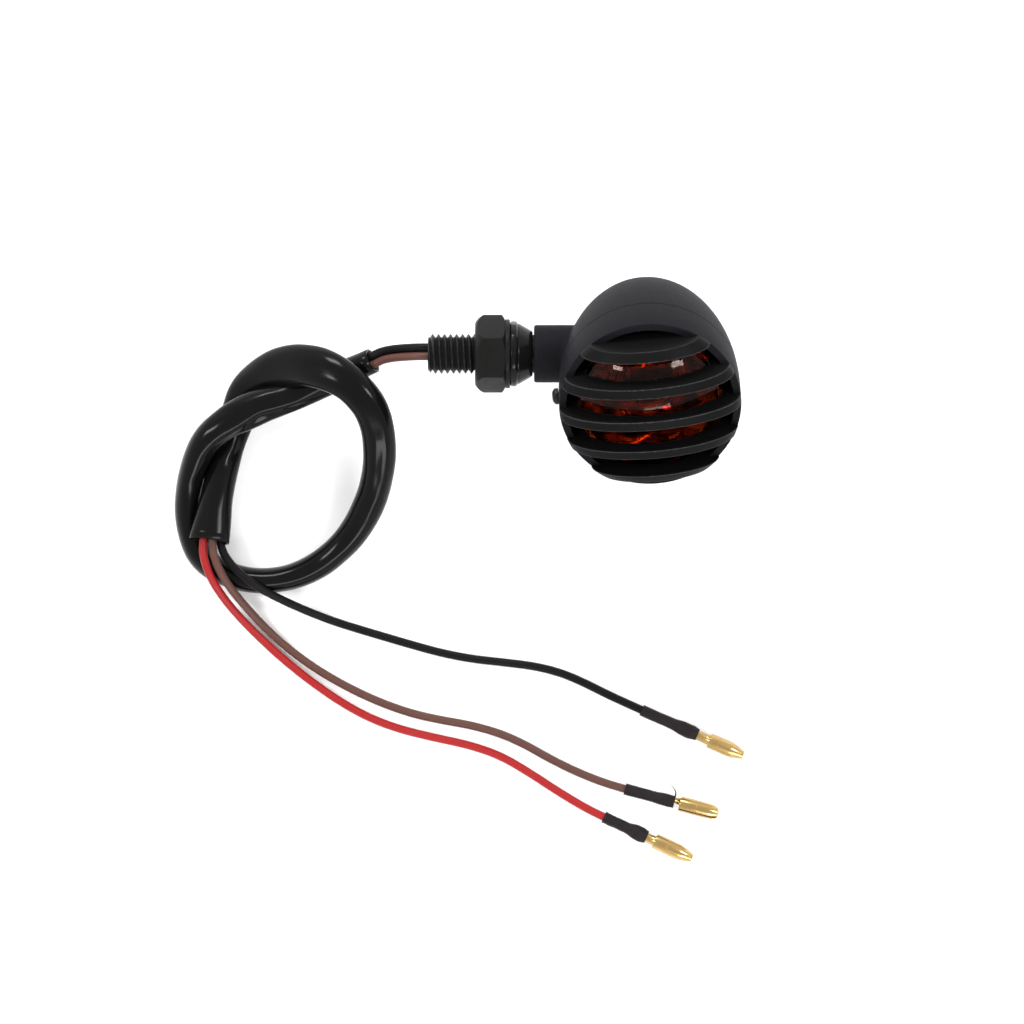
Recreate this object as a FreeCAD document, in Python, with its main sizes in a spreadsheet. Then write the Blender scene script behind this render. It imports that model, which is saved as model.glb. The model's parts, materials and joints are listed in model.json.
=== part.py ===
"""Mini bullet turn signal for a motorcycle, with its hollow M10 stem and its three leads.

Frame: millimetres, +Z up from the table.  The origin is the centre of the stem's free end, the
stem runs along +X to the lamp head, and the head's optical axis leans 30 degrees from +Z to -Y.
Head pieces are drawn in the head's own frame, whose Z is the optical axis and whose Z = 0 is the
plane of the grille's rim, and are then set down by head_placement().
"""
import FreeCAD, Part
import math
import os
import Sketcher

V = FreeCAD.Vector
doc = FreeCAD.newDocument("turn_signal")
sheet = doc.addObject("Spreadsheet::Sheet", "Sizes")

DIMENSIONS = {
    # stem, nut and collar, along X from the stem's free end
    "thread_dia": 10.0,
    "thread_pitch": 1.5,
    "thread_depth": 0.92,
    "thread_ridge": 0.19,
    "thread_end": 20.5,
    "thread_lead_in": 0.45,
    "shank_dia": 9.6,
    "covered_start": 11.5,
    "stem_end": 41.5,
    "stem_bore": 6.0,
    "nut_start": 11.75,
    "nut_thick": 7.5,
    "nut_flats": 17.0,
    "nut_turn": 39.0,
    "washer_dia": 17.3,
    "washer_thick": 1.25,
    "collar_flats": 15.8,
    "collar_base": 2.0,
    "collar_turn": 24.0,
    "chamfer_slope": 1.73,
    "collar_tip_dia": 11.3,
    "collar_end": 26.15,
    "run_gap": 0.05,
    # head shell
    "head_x": 54.9,
    "head_tilt": 30.0,
    "stem_drop": 26.6,
    "rim_radius": 22.4,
    "back_depth": 50.7,
    "shoulder": 7.0,
    "dome_height": 11.0,
    "shell_wall": 2.1,
    "seam_depth": 11.0,
    "skirt_bore": 20.6,
    "spigot_wall": 1.55,
    "spigot_top": -6.6,
    "spigot_root": -16.0,
    "boss_start": 26.5,
    "boss_dia": 14.4,
    "boss_end": 39.4,
    "seal_section": 1.3,
    "clip_dia": 14.0,
    "clip_thick": 1.0,
    "clip_start": 40.2,
    "friction_dia": 12.4,
    "friction_thick": 0.7,
    # grille
    "grille_clock": 5.3,
    "bar_pitch": 8.45,
    "bar_thick": 2.4,
    "blade_root": -3.5,
    # lens, reflector and screw
    "lens_radius": 24.0,
    "lens_centre": -17.0,
    "lens_dia": 35.2,
    "lens_wall": 1.5,
    "lens_gap": 0.4,
    "flange_dia": 40.6,
    "flange_thick": 1.5,
    "gasket_thick": 1.0,
    "sheet_wall": 0.6,
    "bowl_depth": -16.0,
    "bowl_top_dia": 37.0,
    "bowl_floor_dia": 19.4,
    "screw_depth": 8.3,
    "screw_seat": 21.7,
    "screw_dia": 2.4,
    "screw_head_dia": 4.0,
    "screw_head_thick": 1.3,
    "screw_washer_thick": 0.4,
    # bulb holder and bulb
    "shell_dia": 17.2,
    "shell_bore": 15.6,
    "shell_top": -15.0,
    "shell_floor": -42.0,
    "base_dia": 15.0,
    "base_top": -17.0,
    "base_floor": -33.0,
    "pin_level": -20.0,
    "pin_dia": 1.8,
    "pin_reach": 16.8,
    "twist_room": 4.4,
    "push_room": 1.6,
    "globe_dia": 18.0,
    "globe_level": -8.0,
    "neck_dia": 13.6,
    "glass_wall": 0.8,
    "contact_spread": 3.0,
    "contact_dia": 2.4,
    "contact_level": -34.2,
    "plate_top": -34.9,
    "plate_thick": 1.3,
    "spring_wire": 0.8,
    "spring_dia": 10.0,
    "spring_turns": 3.0,
    "block_left": -11.6,
    "block_floor": -38.0,
    "block_top": -34.0,
    "block_width": 7.2,
    "post_dia": 0.5,
    "coil_dia": 0.8,
    "post_spread": 2.2,
    # wiring
    "wire_dia": 2.1,
    "sleeve_dia": 7.5,
    "shrink_dia": 3.4,
    "wire_in_shrink": 7.0,
    "terminal_dia": 4.0,
    "terminal_barrel": 2.6,
    "terminal_neck": 1.2,
    "bullet_length": 11.5,
    "bullet_tip": 2.2,
    "swivel_gap": 0.4,
}


def fill_sheet():
    """Write each driving dimension as a plain number with its alias."""
    for row, (alias, value) in enumerate(DIMENSIONS.items(), start=1):
        sheet.set(f"A{row}", alias)
        sheet.set(f"B{row}", str(value))
        sheet.setAlias(f"B{row}", alias)
    doc.recompute()


def size(alias):
    """A driving dimension's value from the sheet."""
    return float(sheet.get(alias))


def bind(thing, **expressions):
    """Bind properties to expressions in the sheet's aliases, each written as $alias."""
    for name, text in expressions.items():
        thing.setExpression(name.replace("__", "."), str(text).replace("$", "Sizes."))
    return thing


TURNS = {
    "Z": FreeCAD.Rotation(),
    "X": FreeCAD.Rotation(V(0, 1, 0), 90),
    "-X": FreeCAD.Rotation(V(0, 1, 0), -90),
    "Y": FreeCAD.Rotation(V(1, 0, 0), -90),
    "-Y": FreeCAD.Rotation(V(1, 0, 0), 90),
}


def solid(kind, name, along="Z", at=("0", "0", "0"), **sizes):
    """A Part primitive whose axis runs along the given direction from the given point."""
    made = doc.addObject("Part::" + kind, name)
    made.Placement = FreeCAD.Placement(V(), TURNS[along])
    bind(made, **sizes)
    for letter, text in zip("xyz", at):
        bind(made, **{"Placement__Base__" + letter: text})
    return made


def rod(name, radius, start, end, along="Z", x="0", y="0"):
    """A cylinder between two levels of its axis; x and y are the other two coordinates in order."""
    at = {"Z": (x, y, start), "X": (start, x, y), "Y": (x, start, y)}[along]
    return solid("Cylinder", name, along, at, Radius=radius, Height=f"({end}) - ({start})")


def cut(name, base, tool):
    made = doc.addObject("Part::Cut", name)
    made.Base = base
    made.Tool = tool
    return made


def fuse(name, *pieces):
    made = doc.addObject("Part::MultiFuse", name)
    made.Shapes = list(pieces)
    made.Refine = True
    return made


def common(name, first, second):
    made = doc.addObject("Part::Common", name)
    made.Base = first
    made.Tool = second
    return made


def group(name, *pieces):
    """Separate solids that share one node."""
    made = doc.addObject("Part::Compound", name)
    made.Links = list(pieces)
    return made


def ring(name, outer, inner, start, end, along="Z"):
    """A plain ring: a washer, a gasket or a sleeve."""
    whole = rod(name + "_whole", outer, start, end, along)
    hole = rod(name + "_hole", inner, f"({start}) - 1", f"({end}) + 1", along)
    return cut(name, whole, hole)


SUB_PARTS = []


def keep(made, node, body):
    """Name a finished piece and remember which moving body it belongs to."""
    made.Label = node
    SUB_PARTS.append((node, made, body))
    return made


def head_placement():
    """Where the head's frame stands: on the stem's axis, leaning back by the head's tilt."""
    tilt = math.radians(size("head_tilt"))
    drop = size("stem_drop")
    base = V(size("head_x"), -drop * math.sin(tilt), drop * math.cos(tilt))
    return FreeCAD.Placement(base, FreeCAD.Rotation(V(1, 0, 0), size("head_tilt")))


def keep_in_head(made, node, body="head"):
    made.Placement = head_placement()
    return keep(made, node, body)


# ---------------------------------------------------------------- stem

def plane(body, role):
    return next(item for item in body.Origin.OriginFeatures if item.Role == role)


def circle_sketch(body, name, alias, offset="0"):
    """A circle about the X axis on the body's YZ plane."""
    sketch = body.newObject("Sketcher::SketchObject", name)
    sketch.AttachmentSupport = [(plane(body, "YZ_Plane"), "")]
    sketch.MapMode = "FlatFace"
    sketch.addGeometry(Part.Circle(V(), V(0, 0, 1), 3), False)
    sketch.addConstraint(Sketcher.Constraint("Coincident", 0, 3, -1, 1))
    sketch.addConstraint(Sketcher.Constraint("Diameter", 0, 6))
    sketch.renameConstraint(1, "dia")
    sketch.setExpression("Constraints.dia", alias.replace("$", "Sizes."))
    sketch.setExpression("AttachmentOffset.Base.z", offset.replace("$", "Sizes."))
    return sketch


def pad(body, name, sketch, length):
    made = body.newObject("PartDesign::Pad", name)
    made.Profile = sketch
    return bind(made, Length=length)


def profile_sketch(body, name, points):
    """A closed outline on the body's XZ plane, sketch x along +X and sketch y along the radius."""
    sketch = body.newObject("Sketcher::SketchObject", name)
    sketch.AttachmentSupport = [(plane(body, "XZ_Plane"), "")]
    sketch.MapMode = "FlatFace"
    for start, end in zip(points, points[1:] + points[:1]):
        sketch.addGeometry(Part.LineSegment(V(*start, 0), V(*end, 0)), False)
    return sketch


def turned_groove(body, name, outline):
    """A groove of the given outline, turned right round the stem's axis."""
    groove = body.newObject("PartDesign::Groove", name)
    groove.Profile = profile_sketch(body, name + "Outline", outline)
    groove.ReferenceAxis = (groove.Profile[0], ["H_Axis"])
    groove.Angle = 360
    return groove


LIP = 0.2


def cut_thread(body):
    """One ring groove per pitch, from the lead-in chamfer to the collar."""
    radius = size("thread_dia") / 2
    depth = size("thread_depth")
    half_top = (size("thread_pitch") - size("thread_ridge")) / 2
    half_root = half_top - depth * math.tan(math.radians(30))
    slope = (half_top - half_root) / depth
    first = size("thread_lead_in") + size("thread_ridge") + half_top
    count = int((size("thread_end") - first) / size("thread_pitch")) + 1
    groove = turned_groove(body, "ThreadGroove", [
        (first - half_root, radius - depth),
        (first + half_root, radius - depth),
        (first + half_top + LIP * slope, radius + LIP),
        (first - half_top - LIP * slope, radius + LIP),
    ])
    doc.recompute()
    turns = body.newObject("PartDesign::LinearPattern", "ThreadTurns")
    turns.Originals = [groove]
    turns.Direction = (groove.Profile[0], ["H_Axis"])
    turns.Occurrences = count
    bind(turns, Length=f"$thread_pitch * {count - 1}")
    body.Tip = turns
    doc.recompute()


def cut_box_groove(body, name, start, end, root, top):
    """A square-sided groove from one level of the stem's axis to another."""
    turned_groove(body, name, [(start, root), (end, root), (end, top), (start, top)])


def stem_bolt():
    """The hollow bolt: rolled thread to the collar, plain shank, clip groove, wire bore."""
    body = doc.addObject("PartDesign::Body", "StemBolt")
    pad(body, "ThreadPad", circle_sketch(body, "ThreadCircle", "$thread_dia"), "$thread_end")
    pad(body, "ShankPad", circle_sketch(body, "ShankCircle", "$shank_dia"), "$stem_end")
    cut_thread(body)
    radius = size("thread_dia") / 2
    shank = size("shank_dia") / 2
    lead = size("thread_lead_in")
    turned_groove(body, "EndChamfer",
                  [(-0.1, radius - lead - 0.1), (-0.1, radius + LIP), (lead + LIP, radius + LIP)])
    cut_box_groove(body, "CoveredThread", size("covered_start"), size("thread_end"), shank,
                   radius + LIP)
    clip = size("clip_start")
    cut_box_groove(body, "ClipGroove", clip, clip + size("clip_thick"), shank - 0.5, shank + LIP)
    bore = body.newObject("PartDesign::Pocket", "WireBore")
    bore.Profile = circle_sketch(body, "BoreCircle", "$stem_bore")
    bore.Type = 1
    bore.Reversed = True
    doc.recompute()
    body.Tip = bore
    return keep(body, "stem_bolt", "stem")


def mounting_nut():
    """Hex nut, chamfered deeply on its outer face and lightly on its seat."""
    prism = solid("Prism", "NutHex", "X", ("$nut_start", "0", "0"), Height="$nut_thick",
                  Circumradius="$nut_flats / 2 / cos(30 deg)")
    prism.Polygon = 6
    turn = FreeCAD.Rotation(V(1, 0, 0), size("nut_turn"))
    prism.Placement.Rotation = turn.multiply(TURNS["X"])
    outer = solid("Cone", "NutOuterChamfer", "X", ("$nut_start", "0", "0"), Height="$nut_thick",
                  Radius1="$nut_flats / 2 - 0.2",
                  Radius2="$nut_flats / 2 - 0.2 + $nut_thick * $chamfer_slope")
    seat = solid("Cone", "NutSeatChamfer", "X", ("$nut_start", "0", "0"), Height="$nut_thick",
                 Radius1="$nut_flats / 2 + 0.4 + $nut_thick * $chamfer_slope",
                 Radius2="$nut_flats / 2 + 0.4")
    shaped = common("NutShaped", common("NutFirst", prism, outer), seat)
    bore = rod("NutBore", "$thread_dia / 2 + $run_gap", "$nut_start - 1",
               "$nut_start + $nut_thick + 1", "X")
    return keep(cut("Nut", shaped, bore), "mounting_nut", "nut")


def stem_rings():
    """The washer, the friction washer, the circlip and the shaft seal."""
    washer_start = "$nut_start + $nut_thick"
    keep(ring("Washer", "$washer_dia / 2", "$thread_dia / 2 + 0.2", washer_start,
              washer_start + " + $washer_thick", "X"), "mounting_washer", "washer")
    keep(ring("FrictionWasher", "$friction_dia / 2", "$shank_dia / 2 + 0.1", "$boss_end + $run_gap",
              "$boss_end + $run_gap + $friction_thick", "X"), "friction_washer", "stem")
    clip = ring("Clip", "$clip_dia / 2 - 0.4", "$shank_dia / 2 - 0.5", "$clip_start",
                "$clip_start + $clip_thick", "X")
    mouth = solid("Box", "ClipMouth", at=("$clip_start - 1", "-3", "-$clip_dia"),
                  Length="$clip_thick + 2", Width="6", Height="$clip_dia")
    keep(cut("OpenClip", clip, mouth), "stem_circlip", "stem")
    seal = solid("Torus", "Seal", "X", ("$boss_start + 0.05 + $seal_section / 2", "0", "0"),
                 Radius1="($thread_dia + $run_gap * 2 + $seal_section) / 2",
                 Radius2="$seal_section / 2 - 0.01")
    keep(seal, "stem_seal", "head")


def cone_collar():
    """Tapered collar between the washer and the head, with a six-sided foot."""
    foot_start = "$thread_end"
    foot_end = "$thread_end + $collar_base"
    foot = solid("Prism", "CollarHex", "X", (foot_start, "0", "0"), Height="$collar_base",
                 Circumradius="$collar_flats / 2 / cos(30 deg)")
    foot.Polygon = 6
    foot.Placement.Rotation = FreeCAD.Rotation(V(1, 0, 0), size("collar_turn")).multiply(TURNS["X"])
    round_limit = rod("CollarRound", "$collar_flats / 2 + 0.35", foot_start, foot_end, "X")
    cone = solid("Cone", "CollarCone", "X", (foot_end, "0", "0"),
                 Height="$collar_end - $thread_end - $collar_base",
                 Radius1="$collar_flats / 2 - 0.5", Radius2="$collar_tip_dia / 2")
    whole = fuse("CollarWhole", common("CollarFoot", foot, round_limit), cone)
    bore = rod("CollarBore", "$shank_dia / 2", "$thread_end - 1", "$collar_end + 1", "X")
    keep(cut("Collar", whole, bore), "cone_collar", "stem")


# ---------------------------------------------------------------- head shell

def egg(name, depth, radius):
    """The back of the bullet: a short straight shoulder and half an ellipsoid below it."""
    tail = solid("Ellipsoid", name + "Tail", at=("0", "0", "-$shoulder"),
                 Radius1=f"{depth} - $shoulder", Radius2=radius)
    tail.Angle1 = -90
    tail.Angle2 = 0
    return fuse(name, tail, rod(name + "Shoulder", radius, "-$shoulder", "0"))


def dome(name, height, radius):
    made = solid("Ellipsoid", name, Radius1=height, Radius2=radius)
    made.Angle1 = 0
    made.Angle2 = 90
    return made


def clocked_rod(name, radius, start, end, level):
    """A cylinder on the screw's axis, which points out through the rim on the grille's own left."""
    at = (f"-({start}) * cos($grille_clock * 1deg)", f"-({start}) * sin($grille_clock * 1deg)", level)
    made = solid("Cylinder", name, "-X", at, Radius=radius, Height=f"({end}) - ({start})")
    made.Placement.Rotation = FreeCAD.Rotation(V(0, 0, 1), size("grille_clock")).multiply(TURNS["-X"])
    return made


def housing():
    """Die-cast bullet with the stem boss, and the spigot that the grille slides over."""
    below_seam = rod("BelowSeam", "$rim_radius + 5", "-$back_depth - 5", "-$seam_depth")
    skin = common("HousingSkin", egg("HousingEgg", "$back_depth", "$rim_radius"), below_seam)
    stem_level = "-$stem_drop"
    boss = rod("Boss", "$boss_dia / 2", "$boss_start - $head_x", "$boss_end - $head_x", "X", "0",
               stem_level)
    hollow = egg("HousingHollow", "$back_depth - $shell_wall", "$rim_radius - $shell_wall")
    shell = cut("HousingShell", skin, hollow)
    spigot = ring("Spigot", "$skirt_bore - $run_gap", "$skirt_bore - $spigot_wall", "$spigot_root",
                  "$spigot_top")
    bore = rod("BossBore", "$thread_dia / 2 + $run_gap", "$boss_start - $head_x - 1",
               "$boss_end - $head_x + 1", "X", "0", stem_level)
    seat = rod("SealSeat", "$thread_dia / 2 + $run_gap + $seal_section",
               "$boss_start - $head_x - 1", "$boss_start - $head_x + $seal_section + 0.1", "X", "0",
               stem_level)
    screw_hole = clocked_rod("HousingScrewHole", "$screw_dia / 2", "16", "25", "-$screw_depth")
    body = fuse("HousingWhole", shell, boss, spigot)
    drilled = cut("HousingDrilled", body, fuse("HousingHoles", bore, seat, screw_hole))
    keep_in_head(drilled, "housing")


def grille_cover():
    """Rim ring, five bars across the dome, and the screw hole in the rim."""
    band = rod("RimBand", "$rim_radius + 5", "-$seam_depth", "0")
    rim = common("Rim", egg("RimEgg", "$back_depth", "$rim_radius"), band)
    bore = rod("RimBore", "$skirt_bore", "-$seam_depth - 1", "1")
    rim_ring = cut("RimRing", rim, bore)
    blade_root = rod("BladeRoot", "$skirt_bore + 0.5", "$blade_root", "0.2")
    blade_space = fuse("BladeSpace", dome("GrilleDome", "$dome_height", "$rim_radius"), blade_root)
    ball = solid("Sphere", "LensClear", at=("0", "0", "$lens_centre"), Radius="$lens_radius + $lens_gap")
    column = rod("LensColumn", "$lens_dia / 2 + $lens_gap", "$blade_root - 1", "$dome_height + 1")
    clear = common("LensSpace", ball, column)
    slabs = []
    for number in range(-2, 3):
        slab = solid("Box", f"Slab{number + 3}", at=("0", "0", "$blade_root - 1"),
                     Length="$rim_radius * 2 + 10", Width="$bar_thick",
                     Height="$dome_height - $blade_root + 2")
        turn = FreeCAD.Rotation(V(0, 0, 1), size("grille_clock"))
        corner = turn.multVec(V(-size("rim_radius") - 5,
                                number * size("bar_pitch") - size("bar_thick") / 2, 0))
        slab.setExpression("Placement.Base.x", None)
        slab.setExpression("Placement.Base.y", None)
        slab.Placement = FreeCAD.Placement(V(corner.x, corner.y, slab.Placement.Base.z), turn)
        slabs.append(slab)
    bars = cut("Bars", common("BarBlanks", blade_space, fuse("Slabs", *slabs)), clear)
    whole = fuse("CoverWhole", rim_ring, bars)
    hole = clocked_rod("CoverScrewHole", "$screw_dia / 2 + 0.1", "18", "25", "-$screw_depth")
    seat = clocked_rod("CoverScrewSeat", "$screw_head_dia / 2 + 0.3", "$screw_seat", "25",
                       "-$screw_depth")
    keep_in_head(cut("Cover", whole, fuse("CoverHoles", hole, seat)), "grille_cover")


def lens_cap(name, shrink):
    """The lens's round front, drawn in by a wall."""
    ball = solid("Sphere", name + "Ball", at=("0", "0", "$lens_centre"),
                 Radius=f"$lens_radius - {shrink}")
    column = rod(name + "Column", f"$lens_dia / 2 - {shrink}", "$blade_root - $flange_thick",
                 "$dome_height")
    return common(name, ball, column)


def lens():
    """Smoked amber dome with a flange that the grille clamps, and the gasket under it."""
    flange_floor = "$blade_root - $flange_thick"
    flange = rod("LensFlange", "$flange_dia / 2", flange_floor, "$blade_root")
    whole = fuse("LensWhole", lens_cap("LensOuter", "0"), flange)
    keep_in_head(cut("Lens", whole, lens_cap("LensInner", "$lens_wall")), "lens")
    gasket = ring("Gasket", "$flange_dia / 2", "$lens_dia / 2", f"{flange_floor} - $gasket_thick",
                  flange_floor)
    keep_in_head(gasket, "lens_gasket")


def reflector():
    """Pressed bowl with a flange on the spigot and a hole for the bulb holder."""
    top = "$spigot_top + $sheet_wall"
    flange = ring("ReflectorFlange", "$flange_dia / 2", "$bowl_top_dia / 2 - $sheet_wall",
                  "$spigot_top", top)
    height = "$spigot_top - $bowl_depth"
    outside = solid("Cone", "BowlOutside", at=("0", "0", "$bowl_depth"), Height=height,
                    Radius1="$bowl_floor_dia / 2", Radius2="$bowl_top_dia / 2")
    inside = solid("Cone", "BowlInside", at=("0", "0", "$bowl_depth + $sheet_wall"), Height=height,
                   Radius1="$bowl_floor_dia / 2 - $sheet_wall / 2",
                   Radius2="$bowl_top_dia / 2 - $sheet_wall / 2")
    hole = rod("BowlHole", "$shell_dia / 2", "$bowl_depth - 1", "$bowl_depth + 2")
    bowl = cut("Bowl", outside, fuse("BowlTools", inside, hole))
    keep_in_head(fuse("Reflector", flange, bowl), "reflector")


def cover_screw():
    """Pan-head screw through the rim into the spigot, with its lock washer."""
    level = "-$screw_depth"
    washer_top = "$screw_seat + $screw_washer_thick"
    washer = cut("ScrewWasherRing",
                 clocked_rod("ScrewWasherWhole", "$screw_head_dia / 2", "$screw_seat", washer_top, level),
                 clocked_rod("ScrewWasherHole", "$screw_dia / 2 + $run_gap", "20", "25", level))
    keep_in_head(washer, "cover_screw_washer", "screw_washer")
    shank = clocked_rod("ScrewShank", "$screw_dia / 2 - $run_gap / 2", "19.2", washer_top, level)
    head_top = washer_top + " + $screw_head_thick"
    head = clocked_rod("ScrewHead", "$screw_head_dia / 2", washer_top, head_top, level)
    recesses = []
    for index, turn in enumerate((0, 90)):
        arm = solid("Box", f"RecessArm{index}", at=("0", "0", "0"), Length="0.45", Width="2.4",
                    Height="1.6")
        radial = FreeCAD.Rotation(V(0, 0, 1), size("grille_clock")).multiply(TURNS["-X"])
        spun = radial.multiply(FreeCAD.Rotation(V(0, 0, 1), turn))
        reach = size("screw_seat") + size("screw_washer_thick") + size("screw_head_thick") - 0.8
        centre = radial.multVec(V(0, 0, reach)) + V(0, 0, -size("screw_depth"))
        for letter in "xyz":
            arm.setExpression(f"Placement.Base.{letter}", None)
        arm.Placement = FreeCAD.Placement(centre + spun.multVec(V(-0.225, -1.2, 0)), spun)
        recesses.append(arm)
    screw = cut("Screw", fuse("ScrewWhole", shank, head), fuse("ScrewRecess", *recesses))
    keep_in_head(screw, "cover_screw", "screw")


# ---------------------------------------------------------------- bulb and holder

def bulb_holder():
    """Bayonet shell with its two slots, its terminal block, spring and sprung contact plate."""
    tube = ring("ShellTube", "$shell_dia / 2", "$shell_bore / 2", "$shell_floor + 1", "$shell_top")
    floor_disc = ring("ShellFloor", "$shell_dia / 2", "2.5", "$shell_floor", "$shell_floor + 1")
    collar = ring("ShellCollar", "$shell_dia / 2 + 1", "$shell_dia / 2 - 0.2", "$bowl_depth - 1",
                  "$bowl_depth")
    windows = []
    for side in (1, -1):
        low = "-$pin_dia / 2 - 0.3" if side == 1 else "-$twist_room"
        window = solid("Box", f"SlotWindow{side + 1}",
                       at=(low, "5" if side == 1 else "-10", "$pin_level - $pin_dia / 2 - $push_room - 0.2"),
                       Length="$twist_room + $pin_dia / 2 + 0.3", Width="5",
                       Height="$pin_dia + $push_room + 0.5")
        low = "$twist_room - $pin_dia - 0.6" if side == 1 else "-$twist_room"
        entry = solid("Box", f"SlotEntry{side + 1}",
                      at=(low, "5" if side == 1 else "-10", "$pin_level"),
                      Length="$pin_dia + 0.6", Width="5", Height="$shell_top - $pin_level + 1")
        windows += [window, entry]
    body = fuse("ShellWhole", tube, floor_disc, collar)
    keep_in_head(cut("Shell", body, fuse("ShellSlots", *windows)), "bulb_holder")

    block = solid("Box", "BlockWhole", at=("$block_left", "-$block_width / 2", "$block_floor"),
                  Length="5", Width="$block_width", Height="$block_top - $block_floor")
    around = rod("BlockShell", "$shell_dia / 2", "$block_floor - 2", "$block_top + 2")
    keep_in_head(cut("Block", block, around), "terminal_block")

    plate = rod("PlateWhole", "$base_dia / 2", "$plate_top - $plate_thick", "$plate_top")
    stud_floor = "$plate_top - $plate_thick - 0.6"
    studs = []
    holes = []
    for index, side in enumerate(("-$contact_spread", "$contact_spread")):
        studs.append(rod(f"Stud{index}", "$contact_dia / 2", stud_floor, "$contact_level", x=side))
        holes.append(rod(f"StudHole{index}", "$contact_dia / 2", "$plate_top - 5", "$plate_top + 1",
                         x=side))
    keep_in_head(cut("Plate", plate, fuse("PlateHoles", *holes)), "contact_plate", "contacts")
    keep_in_head(group("Studs", *studs), "contact_studs", "contacts")
    contact_spring()


def contact_spring():
    """Coil spring between the holder's floor and the contact plate."""
    floor_level = size("shell_floor") + 1 + size("spring_wire") / 2
    top_level = size("plate_top") - size("plate_thick") - size("spring_wire") / 2
    height = top_level - floor_level
    radius = size("spring_dia") / 2
    coil = Part.makeHelix(height / size("spring_turns"), height, radius)
    section = Part.Wire(Part.makeCircle(size("spring_wire") / 2 - 0.02, V(radius, 0, 0), V(0, 1, 0)))
    made = doc.addObject("Part::Feature", "Spring")
    shape = Part.Wire(coil).makePipeShell([section], True, True)
    made.Shape = shape
    keep(made, "contact_spring", "head")
    made.Placement = head_placement().multiply(FreeCAD.Placement(V(0, 0, floor_level), TURNS["Z"]))


def bulb():
    """Two-filament bayonet bulb: base with pins, glass, glass foot, filaments, contacts."""
    cup = ring("BaseCup", "$base_dia / 2", "$neck_dia / 2 + 0.1", "$base_floor", "$base_top")
    pins = []
    for side in (1, -1):
        start = "$neck_dia / 2 + 0.3" if side == 1 else "-$pin_reach / 2"
        end = "$pin_reach / 2" if side == 1 else "-$neck_dia / 2 - 0.3"
        pins.append(rod(f"BayonetPin{side + 1}", "$pin_dia / 2", start, end, "Y", "0", "$pin_level"))
    keep_in_head(fuse("Base", cup, *pins), "bulb_base", "bulb")

    globe = solid("Sphere", "GlobeOutside", at=("0", "0", "$globe_level"), Radius="$globe_dia / 2")
    neck = rod("NeckOutside", "$neck_dia / 2", "$base_top - 3", "$globe_level - 3")
    globe_in = solid("Sphere", "GlobeInside", at=("0", "0", "$globe_level"),
                     Radius="$globe_dia / 2 - $glass_wall")
    neck_in = rod("NeckInside", "$neck_dia / 2 - $glass_wall", "$base_top - 4", "$globe_level - 3")
    outside = fuse("GlassOutside", globe, neck)
    keep_in_head(cut("Glass", outside, fuse("GlassInside", globe_in, neck_in)), "bulb_glass", "bulb")

    disc = rod("FootDisc", "$neck_dia / 2 - $glass_wall", "$base_top - 3", "$base_top - 2.4")
    pinch = rod("FootPinch", "2.6", "$base_top - 2.6", "$base_top + 2")
    keep_in_head(fuse("GlassFoot", disc, pinch), "bulb_glass_foot", "bulb")

    posts = [rod(f"Post{step + 2}", "$post_dia / 2", "$base_top + 2", "$globe_level",
                 x=f"$post_spread * {step}") for step in (-1, 0, 1)]
    coils = [rod(f"Filament{step + 2}", "$coil_dia / 2", f"$post_spread * {step}",
                 f"$post_spread * {step + 1}", "X", "0", "$globe_level") for step in (-1, 0)]
    keep_in_head(fuse("Filaments", *posts, *coils), "bulb_filaments", "bulb")

    plug = rod("InsulatorDisc", "$neck_dia / 2", "$base_floor - 0.6", "$base_floor + 1")
    keep_in_head(group("Insulator", plug), "bulb_insulator", "bulb")
    domes = []
    for index, side in enumerate(("-$contact_spread", "$contact_spread")):
        domes.append(rod(f"Contact{index}", "$contact_dia / 2", "$contact_level", "$base_floor - 0.6",
                         x=side))
    keep_in_head(group("Contacts", *domes), "bulb_contacts", "bulb")


# ---------------------------------------------------------------- wiring

def rounded_path(points):
    """Straight runs between hand-chosen points, joined by tangent arcs as large as the runs allow."""
    edges = []
    radii = []
    here = points[0]
    for before, corner, after in zip(points, points[1:], points[2:]):
        into = (corner - before).normalize()
        onward = (after - corner).normalize()
        half_turn = into.getAngle(onward) / 2
        if half_turn < 0.001:
            continue
        reach = 0.45 * min(before.distanceToPoint(corner), corner.distanceToPoint(after))
        arc_start = corner - into * reach
        arc_end = corner + onward * reach
        radius = reach / math.tan(half_turn)
        radii.append(radius)
        inward = (onward - into).normalize()
        centre = corner + inward * (radius / math.cos(half_turn))
        middle = centre - inward * radius
        edges.append(Part.LineSegment(here, arc_start).toShape())
        edges.append(Part.Arc(arc_start, middle, arc_end).toShape())
        here = arc_end
    edges.append(Part.LineSegment(here, points[-1]).toShape())
    return Part.Wire(edges), min(radii)


def tube(name, node, points, diameter, body="stem", place=None):
    """A round cord solid along a route, checked against its section times its length."""
    path, tightest = rounded_path([V(*point) for point in points])
    start = path.Edges[0].Vertexes[0].Point
    direction = V(*points[1]) - V(*points[0])
    section = Part.Wire(Part.makeCircle(diameter / 2, start, direction))
    shape = path.makePipeShell([section], True, False)
    made = doc.addObject("Part::Feature", name)
    made.Shape = shape
    if place:
        made.Placement = place
    keep(made, node, body)
    expected = math.pi * diameter ** 2 / 4 * path.Length
    print(f"{node}: length {path.Length:.1f}, tightest radius {tightest:.1f}, "
          f"volume {shape.Volume:.1f} against {expected:.1f}")
    return made


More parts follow.
